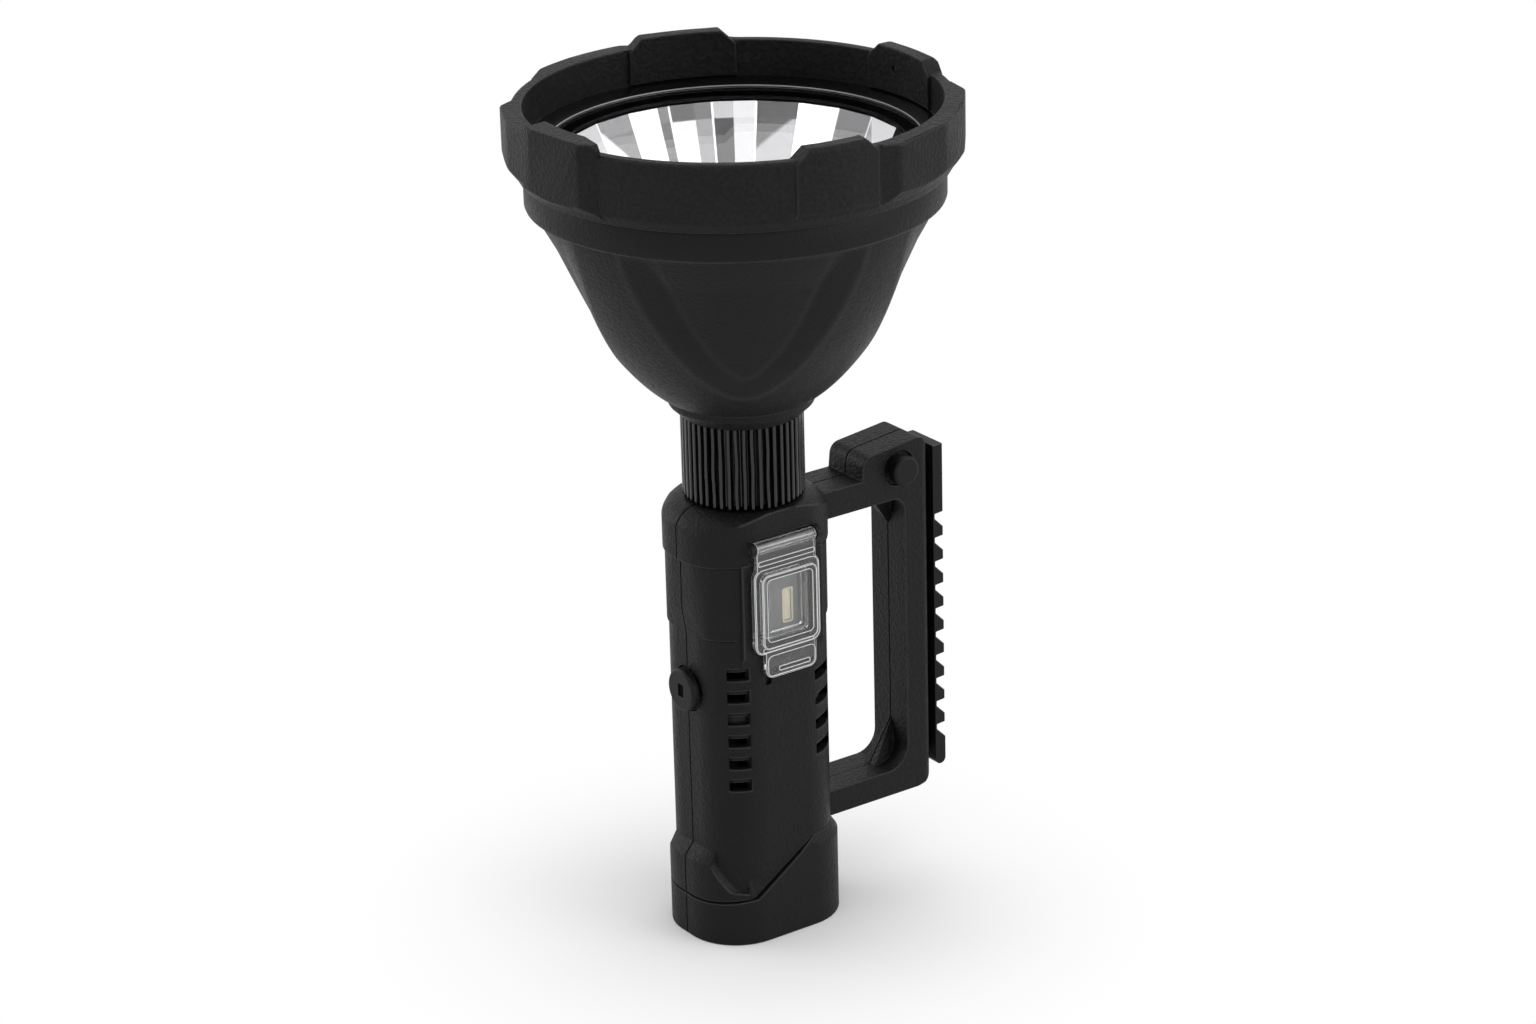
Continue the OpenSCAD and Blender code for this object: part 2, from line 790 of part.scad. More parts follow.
module neck_sleeve() {
    color(plastic_black)
        difference() {
            union() {
                // Ribs all round
                translate([0, 0, neck_z])
                    linear_extrude(neck_h)
                        polygon([
                            for (i = [0 : rib_count - 1], q = [[0.05, 1], [0.2, 0], [0.5, 0], [0.65, 1]])
                                let (a = (i + q[0]) * 360 / rib_count, r = neck_r - rib_depth * q[1])
                                    [r * cos(a), r * sin(a)]
                        ]);
                rod_z(spigot_low_r, cavity_top, neck_z + 1);
                rod_z(flange_r, cavity_top - flange_h, cavity_top);
                rod_z(spigot_high_r, collar_z - 1, sink_z + socket_deep);
            }
            rod_z(neck_bore_r, cavity_top - flange_h - 1, sink_z + socket_deep + 1);
        }
}

module neck_collar() {
    color(plastic_black)
        rotate_extrude()
            polygon([
                [spigot_high_r + slip, collar_z], [neck_r, collar_z], [collar_r - 0.6, bell_z - 2.2],
                [collar_r - 0.6, bell_z], [spigot_high_r + slip, bell_z]
            ]);
}

// Sunk shield seen square on, across its width and up the axis, moved in from its edge
module panel_outline(inset) {
    tip_z = bell_z + 9.4 + inset;
    edge = bezier([panel_half_w - inset, band_z], [panel_half_w * 0.93 - inset, band_z - 16.6],
        [panel_half_w * 0.37 - inset * 0.7, tip_z], [0, tip_z], 12);
    polygon(concat(edge, [for (i = [len(edge) - 2 : -1 : 0]) [-edge[i][0], edge[i][1]]]));
}

// Border of a sunk shield goes down in this many steps
panel_steps = 3;

module head_shell() {
    color(plastic_black)
        difference() {
            rotate_extrude()
                polygon(concat(
                    [[spigot_high_r + slip, sink_z], [spigot_high_r + slip, bell_z]],
                    bell_curve(0),
                    [[head_r, band_z + 1.2], [head_r, bezel_z], [spigot_r, bezel_z], [spigot_r, ring_z],
                        [spigot_in_r, ring_z],
                        [spigot_in_r, ledge_z], [spigot_in_r - 3, ledge_z]],
                    bell_inside(),
                    [[sink_r + slip, sink_z]]
                ));
            // Sunk panels, with borders that step down to their floors
            for (i = [0 : panel_count - 1], k = [1 : panel_steps])
                intersection() {
                    rotate([0, 0, panel_turn + i * 360 / panel_count])
                        rotate([90, 0, 90])
                            linear_extrude(head_r + 5)
                                panel_outline(panel_border * (k - 0.5) / panel_steps);
                    rotate_extrude()
                        polygon(concat(bell_curve(0, panel_depth * k / panel_steps),
                            [[head_r + 5, band_z], [head_r + 5, bell_z]]));
                }
        }
}

function polar(r, a) = [r * cos(a), r * sin(a)];

// Plan of a bezel pad: flat faces between its corners, and a ramp at either end
module pad_plan(turns) {
    last = len(turns) - 1;
    polygon(concat(
        [polar(rim_r - 1, turns[0]), polar(rim_r, turns[0])],
        [for (i = [1 : last - 1]) polar(pad_r, turns[i])],
        [polar(rim_r, turns[last]), polar(rim_r - 1, turns[last])]
    ));
}

// Upright prism over a pad's plan
module pad_prism(turns) {
    translate([0, 0, bezel_z])
        linear_extrude(bezel_h + lug_rise)
            pad_plan(turns);
}

// Bumper pad on the outside of the rim
module pad(turns) {
    intersection() {
        rotate_extrude()
            polygon([[rim_r - 1, bezel_z + 2.4], [bezel_low_r + 0.4, bezel_z + 1.2],
                [pad_r + 0.5, bezel_z + 7],
                [pad_r + 0.5, rim_z - 0.6], [pad_r - 0.6, rim_z], [rim_r - 1, rim_z]]);
        pad_prism(turns);
    }
}

// Lug with sloping ends that rises above the rim
module lug(p, out_r) {
    half_w = rim_r * sin(p[1]);
    top = rim_z + lug_rise;
    intersection() {
        rotate_extrude()
            polygon([[bezel_in_r - lug_inset, ring_z + ring_t + 0.4], [bezel_in_r + 1, ring_z + ring_t + 0.4],
                [bezel_in_r + 1, bezel_z + 2.4], [bezel_low_r + 0.4, bezel_z + 1.2], [out_r, bezel_z + 5],
                [out_r, top - 1], [out_r - 1, top], [bezel_in_r - lug_inset, top]]);
        rotate([0, 0, p[0]])
            rotate([90, 0, 90])
                linear_extrude(pad_r + 2)
                    polygon([[-half_w - 3, bezel_z], [half_w + 3, bezel_z], [half_w + 3, rim_z - 1],
                        [half_w - 1, top], [-half_w + 1, top], [-half_w - 3, rim_z - 1]]);
    }
}

module bezel() {
    color(rubber_black)
        difference() {
            union() {
                rotate_extrude()
                    polygon([[bezel_in_r, bezel_z], [bezel_low_r, bezel_z], [rim_r, bezel_z + 3],
                        [rim_r, rim_z - 0.8],
                        [rim_r - 0.8, rim_z], [bezel_in_r, rim_z]]);
                for (p = pads)
                    pad(p);
                for (p = lugs)
                    lug(p, rim_r + 0.6);
                // One lug rises over the end of a pad and follows its ramp
                intersection() {
                    lug(pad_lug, pad_r + 0.5);
                    pad_prism(pads[1]);
                }
            }
            // Radial holes of the set screws
            for (a = set_screw_turns)
                rotate([0, 0, a])
                    rod_x(set_screw_r, bezel_in_r - 3, bezel_in_r + 2.4, 0, rim_z - 3);
        }
}

module bezel_set_screws() {
    color(metal_bright)
        for (a = set_screw_turns)
            rotate([0, 0, a])
                rod_x(set_screw_r, bezel_in_r - lug_inset + 0.6, bezel_in_r + 2.4, 0, rim_z - 3);
}

module lens_ring() {
    color(plastic_black)
        rotate_extrude()
            polygon([[lens_r - ring_lip, ring_z], [bezel_in_r - slip, ring_z],
                [bezel_in_r - slip, ring_z + ring_t],
                [bezel_in_r - 2.4, ring_z + ring_t], [lens_r - ring_lip, ring_z + 0.8]]);
}

module lens() {
    color(clear_plastic)
        rod_z(lens_r, lens_z, ring_z);
}

module lens_seal() {
    color(rubber_black)
        difference() {
            rod_z(lens_r, ledge_z + flange_t, lens_z);
            rod_z(mouth_r + 1, ledge_z, lens_z + 1);
        }
}

// Radius of the reflector's bright face at a height
dish_low = source_z + 1;
dish_high = ledge_z + flange_t;
function dish_r(z) = emitter_hole_r + 1
    + (mouth_r - emitter_hole_r - 1) * sqrt((z - dish_low) / (dish_high - dish_low));

// Rings of the reflector's facets: the tiers are turned by half a facet
dish_rows = 8;
function dish_ring(row, grow) = [
    let (z = dish_low + (dish_high - dish_low) * pow(row / dish_rows, 1.6))
        for (j = [0 : facet_count - 1])
            let (a = (j + (row < 5 ? 0 : 0.5)) * 360 / facet_count)
                [(dish_r(z) + grow) * cos(a), (dish_r(z) + grow) * sin(a), z]
];

module reflector() {
    color(metal_bright)
        difference() {
            union() {
                // Back of the dish, its neck and the flange that the lens clamps
                rotate_extrude()
                    polygon(concat(
                        [[0, source_z], [emitter_hole_r + 3, source_z]],
                        [for (i = [0 : dish_rows])
                            let (z = dish_low + (dish_high - dish_low) * pow(i / dish_rows, 1.6))
                                [dish_r(z) + reflector_t + 1.6, z]],
                        [[0, dish_high]]
                    ));
                rod_z(lens_r, ledge_z, dish_high);
            }
            facet_bowl();
            rod_z(emitter_hole_r, source_z - 1, dish_low + 2);
        }
}

// Bowl with flat facets that the reflector's bright face follows
module facet_bowl() {
    n = facet_count;
    rows = [for (i = [0 : dish_rows]) dish_ring(i, 0)];
    top = [for (p = rows[dish_rows]) [p[0], p[1], dish_high + 1]];
    points = [for (r = concat(rows, [top])) each r];
    last = dish_rows + 1;
    sides = [
        for (i = [0 : last - 1], j = [0 : n - 1])
            let (a = i * n + j, b = i * n + (j + 1) % n, c = a + n, d = b + n)
                each (i == 4 ? [[a, c, b], [b, c, d]] : [[a, c, d], [a, d, b]])
    ];
    polyhedron(points, concat(sides, [[for (j = [0 : n - 1]) j], [for (j = [n - 1 : -1 : 0]) last * n + j]]));
}

module light_source() {
    color([0.95, 0.90, 0.62])
        intersection() {
            union() {
                box([-2.6, -2.6, source_z], [2.6, 2.6, source_z + 0.8]);
                translate([0, 0, source_z + 0.6])
                    sphere(r = 2.3);
            }
            rod_z(emitter_hole_r - 0.5, source_z, source_z + 5);
        }
}

module source_board() {
    color(metal_bright)
        rod_z(source_board_r, source_z - board_t, source_z);
}

module heat_sink() {
    color([0.55, 0.56, 0.58])
        difference() {
            rod_z(sink_r, sink_z, sink_z + sink_h);
            rod_z(spigot_high_r + slip, sink_z - 1, sink_z + socket_deep);
            for (i = [0 : fin_count - 1])
                rotate([0, 0, i * 360 / fin_count])
                    box([spigot_high_r + 3, -1, sink_z - 1], [sink_r + 1, 1, sink_z + sink_h - 3]);
            lead_way(slip);
        }
}

module battery_cells() {
    color([0.25, 0.45, 0.70])
        for (side = [-1, 1])
            translate([side * cell_x, 0, cell_z])
                cylinder(r = cell_r, h = cell_len);
}

module battery_holder() {
    color([0.16, 0.16, 0.17])
        difference() {
            union() {
                for (z = [floor_t, tray_high_z])
                    column(body_half_x - wall - slip, body_half_y - wall - slip, body_corner_r - wall,
                        z, z + tray_t);
                for (side = [-1, 1])
                    box([-2.5, side > 0 ? cell_r : -cell_r - 2.5, floor_t],
                        [2.5, side > 0 ? cell_r + 2.5 : -cell_r, tray_top]);
            }
            for (side = [-1, 1])
                translate([side * cell_x, 0, cell_z - contact_t])
                    cylinder(r = cell_r + slip, h = cell_len + 2 * contact_t);
        }
}

module battery_contacts() {
    color([0.80, 0.70, 0.40])
        for (side = [-1, 1], z = [cell_z - contact_t, cell_z + cell_len])
            translate([side * cell_x, 0, z])
                cylinder(r = contact_r, h = contact_t);
}

module control_board() {
    color(board_green)
        box([-board_half_w, board_y, board_low], [board_half_w, board_y + board_t, board_high]);
}

module charge_socket() {
    color([0.90, 0.86, 0.74])
        translate([slot_x, 0, slot_z])
            difference() {
                union() {
                    box([-slot_w / 2 - 1.4, panel_in_y, -slot_h / 2 - 1.4],
                        [slot_w / 2 + 1.4, board_y, slot_h / 2 + 1.4]);
                    slab(inner_y, panel_in_y + 1)
                        round_rect(slot_w / 2 - slip, slot_h / 2 - slip, 0.8);
                }
                difference() {
                    slab(inner_y - 1, panel_in_y + 2.5)
                        round_rect(slot_w / 2 - 0.6, slot_h / 2 - 0.6, 0.6);
                    box([-0.5, inner_y + 1, -slot_h / 2 + 2], [0.5, board_y, slot_h / 2 - 2]);
                }
            }
}

module socket_panel() {
    color([0.50, 0.51, 0.52])
        difference() {
            slab(inner_y, panel_in_y)
                translate([0, window_z])
                    round_rect(socket_half_w, window_h / 2 + 1.2, 2);
            slab(inner_y - 1, panel_in_y + 1)
                translate([slot_x, slot_z])
                    round_rect(slot_w / 2, slot_h / 2, 0.9);
        }
}

// Door outline: the strip at the hinge, the frame and the finger tab
module door_outline() {
    translate([0, (door_top + door_low) / 2])
        round_rect(door_half_w, door_h / 2, 3);
    translate([-strip_half_w, door_top - 4])
        square([2 * strip_half_w, hinge_z - door_top + 4]);
    translate([1, door_low - tab_h / 2 + 2])
        round_rect(door_half_w - 2.6, tab_h / 2 + 2, 2.5);
}

module charge_door() {
    bulge_half_w = door_half_w - 1.8;
    bulge_half_h = door_h / 2 - 1.8;
    lip_half_w = window_half_w - apart;
    lip_half_h = window_h / 2 - apart;
    color(clear_plastic)
        difference() {
            union() {
                slab(door_out_y, door_in_y)
                    door_outline();
                rod_x(hinge_barrel_r, -strip_half_w, strip_half_w, hinge_y, hinge_z);
                // Window that bulges out, and the lip that enters the window of the shell
                slab(door_out_y - door_bulge, door_out_y + 0.5)
                    translate([0, (door_top + door_low) / 2])
                        round_rect(bulge_half_w, bulge_half_h, 2.4);
                slab(door_in_y - 0.5, door_in_y + apart + 1.4)
                    translate([0, window_z])
                        round_rect(lip_half_w, lip_half_h, 1.2);
            }
            slab(door_out_y, door_in_y + 4)
                translate([0, window_z])
                    round_rect(lip_half_w - 1.1, lip_half_h - 1.1, 0.9);
            rod_x(hinge_pin_r + running, -strip_half_w - 1, strip_half_w + 1, hinge_y, hinge_z);
            // Raised bar of the tab is what is left between two shallow steps
            slab(door_out_y - 1, door_out_y + 0.5)
                translate([1.8, door_low - tab_h + 2.4])
                    round_rect(door_half_w - 5, 1, 0.5);
        }
}

module door_hinge_pin() {
    color(metal_bright)
        rod_x(hinge_pin_r, -strip_half_w - 2, strip_half_w + 2, hinge_y, hinge_z);
}

module side_button() {
    color(plastic_black)
        difference() {
            union() {
                translate([side_x - side_button_out, 0, side_button_z])
                    rotate([0, 90, 0])
                        rotate_extrude()
                            polygon(concat([[0, 0]], arc(side_button_r - 1, 1, 1, -90, 0, 5),
                                [[side_button_r, side_button_out - 0.4], [0, side_button_out - 0.4]]));
                rod_x(stem_r, side_x - 1, side_x + wall + 0.3, 0, side_button_z);
                rod_x(stem_head_r, side_x + wall + 0.3, side_x + wall + 1.3, 0, side_button_z);
            }
            box([side_x - side_button_out - 1, -1.4, side_button_z - 2],
                [side_x - side_button_out + 1, 1.4, side_button_z + 2]);
        }
}

module button_window() {
    color([0.03, 0.03, 0.04])
        box([side_x - side_button_out + 0.5, -1.4, side_button_z - 2],
            [side_x - side_button_out + 1, 1.4, side_button_z + 2]);
}

module side_switch() {
    color([0.15, 0.15, 0.16])
        union() {
            box([side_x + wall + 1.3 + side_travel + apart + 0.6, -3, tray_top],
                [side_x + wall + 5.5 + side_travel, 3, side_button_z + 3]);
            rod_x(1.4, side_x + wall + 1.3 + side_travel + apart, side_x + wall + 4 + side_travel, 0,
                side_button_z);
        }
}

module handle_button() {
    color(plastic_black)
        union() {
            translate([button_x, -handle_half_y - handle_button_out, button_z])
                rotate([-90, 0, 0])
                    rotate_extrude()
                        polygon(concat([[0, 0]], arc(handle_button_r - 1, 1, 1, -90, 0, 5),
                            [[handle_button_r, handle_button_out - 0.7], [0, handle_button_out - 0.7]]));
            rod_y(2.4, button_x, -handle_half_y - 1, -handle_half_y + handle_wall + 0.3, button_z);
            rod_y(3.4, button_x, -handle_half_y + handle_wall + 0.3, -handle_half_y + handle_wall + 1.3,
                button_z);
        }
}

module handle_switch() {
    plunger_y = -handle_half_y + handle_wall + 1.3 + handle_travel + apart;
    color([0.15, 0.15, 0.16])
        union() {
            box([button_x - 4, plunger_y + 0.6, button_z - 4],
                [button_x + 4, handle_half_y - handle_wall, button_z + 4]);
            rod_y(1.4, button_x, plunger_y, plunger_y + 1, button_z);
        }
}

// Side view of the toothed rail: each notch is square above and slopes out below
module rail_outline() {
    difference() {
        union() {
            translate([rail_x, rail_low + rail_t / 2])
                square([rail_t, rail_high - rail_low - rail_t / 2]);
            translate([rail_x + rail_t / 2, rail_low + rail_t / 2])
                circle(rail_t / 2);
        }
        for (i = [0 : notch_count - 1])
            translate([rail_x + rail_t, notch_top_z - i * notch_pitch])
                polygon([[0.5, 0], [-notch_depth, -0.3], [-notch_depth, -1.8], [0.5, -2.3 - notch_depth]]);
    }
}

module grip_rail() {
    color(plastic_black)
        difference() {
            union() {
                slab(-rail_half_y, rail_half_y)
                    rail_outline();
                box([handle_reach, -rail_neck_half_y, rail_low + rail_end],
                    [rail_x + rail_t - notch_depth, rail_neck_half_y, rail_high - rail_end]);
            }
            for (z = rail_screw_places)
                rod_x(rail_screw_r + slip, handle_reach - 1,
                    handle_reach + rail_neck_w + rail_screw_bite, 0, z);
        }
}

module rail_screws() {
    color(metal_bright)
        for (z = rail_screw_places)
            rod_x(rail_screw_r, grip_in_x + rail_screw_cover + rail_screw_bite,
                handle_reach + rail_neck_w + rail_screw_bite, 0, z);
}

// Lead from the control board up the neck to the light source
module lead_way(grow) {
    translate([lead_x, board_y + board_t + lead_r, board_high - lead_drop])
        cylinder(r = lead_r + grow, h = source_z - board_t - board_high + lead_drop);
}

module source_lead() {
    color([0.75, 0.10, 0.10])
        lead_way(0);
}

module switch_lead() {
    turn_x = board_half_w - lead_x;
    color([0.75, 0.10, 0.10])
        union() {
            rod_x(lead_r, turn_x, switch_room_x + switch_lead_end, 0, lead_z);
            translate([turn_x, 0, lead_z])
                sphere(r = lead_r);
            rod_y(lead_r, turn_x, board_y + board_t, 0, lead_z);
        }
}

body_front_shell();
body_rear_shell();
foot_bumper_front();
foot_bumper_rear();
body_screws();
neck_sleeve();
neck_collar();
head_shell();
bezel();
bezel_set_screws();
lens_ring();
lens();
lens_seal();
reflector();
light_source();
source_board();
heat_sink();
battery_cells();
battery_holder();
battery_contacts();
control_board();
charge_socket();
socket_panel();
charge_door();
door_hinge_pin();
side_button();
button_window();
side_switch();
handle_button();
handle_switch();
grip_rail();
rail_screws();
source_lead();
switch_lead();
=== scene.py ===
"""Looks of a rechargeable hand lamp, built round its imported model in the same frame, in metres.

The lamp stands on its base with +Z up its axis, +X to the handle and -Y to the charging door.
"""

from __future__ import annotations

import json
import logging
import math
import random
from dataclasses import dataclass, field
from enum import Enum

import bmesh
import bpy
from bmesh.types import BMEdge, BMesh, BMFace, BMVert
from bpy.types import Material, Mesh, Node, NodeSocket, NodeTree, Object
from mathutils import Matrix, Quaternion, Vector
from mathutils.bvhtree import BVHTree

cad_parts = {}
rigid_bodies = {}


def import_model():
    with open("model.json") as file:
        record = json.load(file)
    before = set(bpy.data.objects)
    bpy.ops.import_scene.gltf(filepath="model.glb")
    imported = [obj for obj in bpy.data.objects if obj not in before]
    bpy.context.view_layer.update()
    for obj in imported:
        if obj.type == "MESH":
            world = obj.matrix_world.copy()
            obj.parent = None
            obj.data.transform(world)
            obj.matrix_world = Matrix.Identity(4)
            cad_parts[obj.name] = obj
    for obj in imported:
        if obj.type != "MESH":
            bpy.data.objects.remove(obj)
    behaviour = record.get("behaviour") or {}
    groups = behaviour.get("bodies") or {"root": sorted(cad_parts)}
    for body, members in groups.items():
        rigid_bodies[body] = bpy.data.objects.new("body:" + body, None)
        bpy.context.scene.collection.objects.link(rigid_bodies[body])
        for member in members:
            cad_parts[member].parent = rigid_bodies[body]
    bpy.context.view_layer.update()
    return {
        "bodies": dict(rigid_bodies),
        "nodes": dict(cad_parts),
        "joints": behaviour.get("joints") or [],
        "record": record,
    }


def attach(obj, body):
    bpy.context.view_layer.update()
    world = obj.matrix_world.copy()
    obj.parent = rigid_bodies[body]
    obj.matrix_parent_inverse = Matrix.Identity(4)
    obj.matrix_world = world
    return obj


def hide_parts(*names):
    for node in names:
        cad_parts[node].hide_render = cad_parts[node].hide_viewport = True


LOG = logging.getLogger("hand_lamp")
MM = 0.001
MERGE_DISTANCE = 2e-6
FLAT_ANGLE = math.radians(0.5)
# Attributes that carry the reflector's painted reflections.
PETAL_VALUES = ("reflection_high", "reflection_low", "cap_reflection_high", "cap_reflection_low", "slant", "line")

Point = tuple[float, float]
Triple = tuple[float, float, float]
Curve = tuple[Point, Point, Point, Point]


def bezier(curve: Curve, share: float) -> Point:
    """Gives a point of a cubic curve.

    Args:
        curve: Its four control points.
        share: How far along the curve, 0 to 1.

    Returns:
        The point.
    """
    left = 1.0 - share
    weights = (left**3, 3.0 * left * left * share, 3.0 * left * share * share, share**3)
    first = sum(weight * point[0] for weight, point in zip(weights, curve))
    second = sum(weight * point[1] for weight, point in zip(weights, curve))
    return first, second


def clamp(value: float) -> float:
    """Keeps a value between 0 and 1."""
    return min(1.0, max(0.0, value))


def lathe(outline: list[Point], steps: int, first_turn: float = 0.0) -> BMesh:
    """Turns a closed outline about the lamp's axis.

    Args:
        outline: Points of radius and height, in millimetres.
        steps: Number of steps in the full turn.
        first_turn: Angle of the first step, in degrees.

    Returns:
        The closed ring.
    """
    bm = bmesh.new()
    turn = math.radians(first_turn)
    points = [
        bm.verts.new((radius * math.cos(turn) * MM, radius * math.sin(turn) * MM, height * MM))
        for radius, height in outline
    ]
    edges = [bm.edges.new((points[i - 1], point)) for i, point in enumerate(points)]
    bmesh.ops.spin(
        bm,
        geom=points + edges,
        cent=(0.0, 0.0, 0.0),
        axis=(0.0, 0.0, 1.0),
        angle=math.tau,
        steps=steps,
        use_merge=True,
    )
    bmesh.ops.remove_doubles(bm, verts=bm.verts, dist=MERGE_DISTANCE)
    bmesh.ops.recalc_face_normals(bm, faces=bm.faces)
    return bm


def bevel(
    bm: BMesh,
    geom: list[BMVert] | list[BMEdge],
    radius: float,
    segments: int,
    affect: str = "EDGES",
    clamp_overlap: bool = False,
) -> list[BMFace]:
    """Rounds edges, or the corners of a flat face.

    Args:
        bm: The mesh.
        geom: The edges, or the corners' points.
        radius: Width of the rounding, in millimetres.
        segments: Number of steps in the rounding.
        affect: EDGES or VERTICES.
        clamp_overlap: Whether a rounding stops where it would meet another.

    Returns:
        The faces of the roundings.
    """
    rounded = bmesh.ops.bevel(
        bm,
        geom=geom,
        offset=radius * MM,
        offset_type="OFFSET",
        segments=segments,
        profile=0.5,
        affect=affect,
        clamp_overlap=clamp_overlap,
        material=-1,
    )
    return rounded["faces"]


class Grain(Enum):
    """Surface textures of moulded pieces."""

    LEATHER = "leather"
    FINE = "fine"
    POLISHED = "polished"


@dataclass(frozen=True)
class Polish:
    """How uneven a polish is: a noise, and the shares of the roughness at its lowest and highest."""

    scale: float
    detail: float
    low: float
    high: float


@dataclass
class Graph:
    """A material with its node tree and its main shader."""

    name: str
    material: Material = field(init=False)
    tree: NodeTree = field(init=False)
    shader: Node = field(init=False)

    def __post_init__(self) -> None:
        """Makes the empty material."""
        self.material = bpy.data.materials.new(self.name)
        self.material.use_nodes = True
        self.tree = self.material.node_tree
        self.shader = self.tree.nodes["Principled BSDF"]

    def add(self, kind: str, **values: object) -> Node:
        """Adds a node and sets its properties or inputs by name.

        Args:
            kind: The node's type name.
            **values: Properties of the node, or inputs with underscores for spaces.

        Returns:
            The new node.
        """
        node = self.tree.nodes.new(kind)
        for key, value in values.items():
            if hasattr(node, key):
                setattr(node, key, value)
            else:
                node.inputs[key.replace("_", " ")].default_value = value
        return node

    def link(self, source: NodeSocket, target: NodeSocket) -> None:
        """Joins an output to an input."""
        self.tree.links.new(source, target)

    def feed(self, target: NodeSocket, value: object) -> None:
        """Joins an output to an input, or sets the input to a plain value.

        Args:
            target: The input.
            value: The output or the plain value.
        """
        if isinstance(value, NodeSocket):
            self.link(value, target)
        else:
            target.default_value = value

    def place(self) -> NodeSocket:
        """Gives the piece's own coordinates."""
        return self.add("ShaderNodeTexCoord").outputs["Object"]

    def attribute(self, name: str) -> Node:
        """Adds a node that reads one of the piece's own attributes."""
        return self.add("ShaderNodeAttribute", attribute_name=name)

    def noise(self, where: NodeSocket, **values: float) -> Node:
        """Adds a cloudy pattern.

        Args:
            where: Socket of the coordinates.
            **values: The pattern's inputs.

        Returns:
            The pattern's node.
        """
        node = self.add("ShaderNodeTexNoise", **values)
        self.link(where, node.inputs["Vector"])
        return node

    def calculate(self, operation: str, *values: object) -> NodeSocket:
        """Adds a calculation with sockets or plain numbers.

        Args:
            operation: Name of the operation.
            *values: What it works on, in order.

        Returns:
            The socket of the result.
        """
        node = self.add("ShaderNodeMath", operation=operation)
        for target, value in zip(node.inputs, values):
            self.feed(target, value)
        return node.outputs["Value"]

    def mix(self, kind: str, share: object, first: object, second: object) -> NodeSocket:
        """Mixes two numbers or two colours.

        Args:
            kind: FLOAT or RGBA.
            share: Share of the second, as a socket or a number.
            first: Socket or plain value of the first.
            second: Socket or plain value of the second.

        Returns:
            The socket of the mix.
        """
        node = self.add("ShaderNodeMix", data_type=kind)
        for name, value in (("Factor", share), ("A", first), ("B", second)):
            self.feed(node.inputs[name], value)
        return node.outputs["Result"]

    def spread(
        self, source: NodeSocket, low: float, high: float, start: float = 0.0, end: float = 1.0
    ) -> NodeSocket:
        """Spreads a stretch of a pattern over a range.

        Args:
            source: Socket of the pattern.
            low: Result at the stretch's start.
            high: Result at the stretch's end.
            start: The pattern's value at the start.
            end: The pattern's value at the end.

        Returns:
            The socket of the spread value.
        """
        node = self.add("ShaderNodeMapRange", From_Min=start, From_Max=end, To_Min=low, To_Max=high)
        self.link(source, node.inputs["Value"])
        return node.outputs["Result"]

    def roughen(self, roughness: float, polish: Polish) -> None:
        """Gives the shader a roughness that varies with a noise.

        Args:
            roughness: The plain roughness.
            polish: How uneven it is.
        """
        wave = self.noise(self.place(), Scale=polish.scale, Detail=polish.detail).outputs["Fac"]
        rough = self.spread(wave, roughness * polish.low, roughness * polish.high)
        self.link(rough, self.shader.inputs["Roughness"])


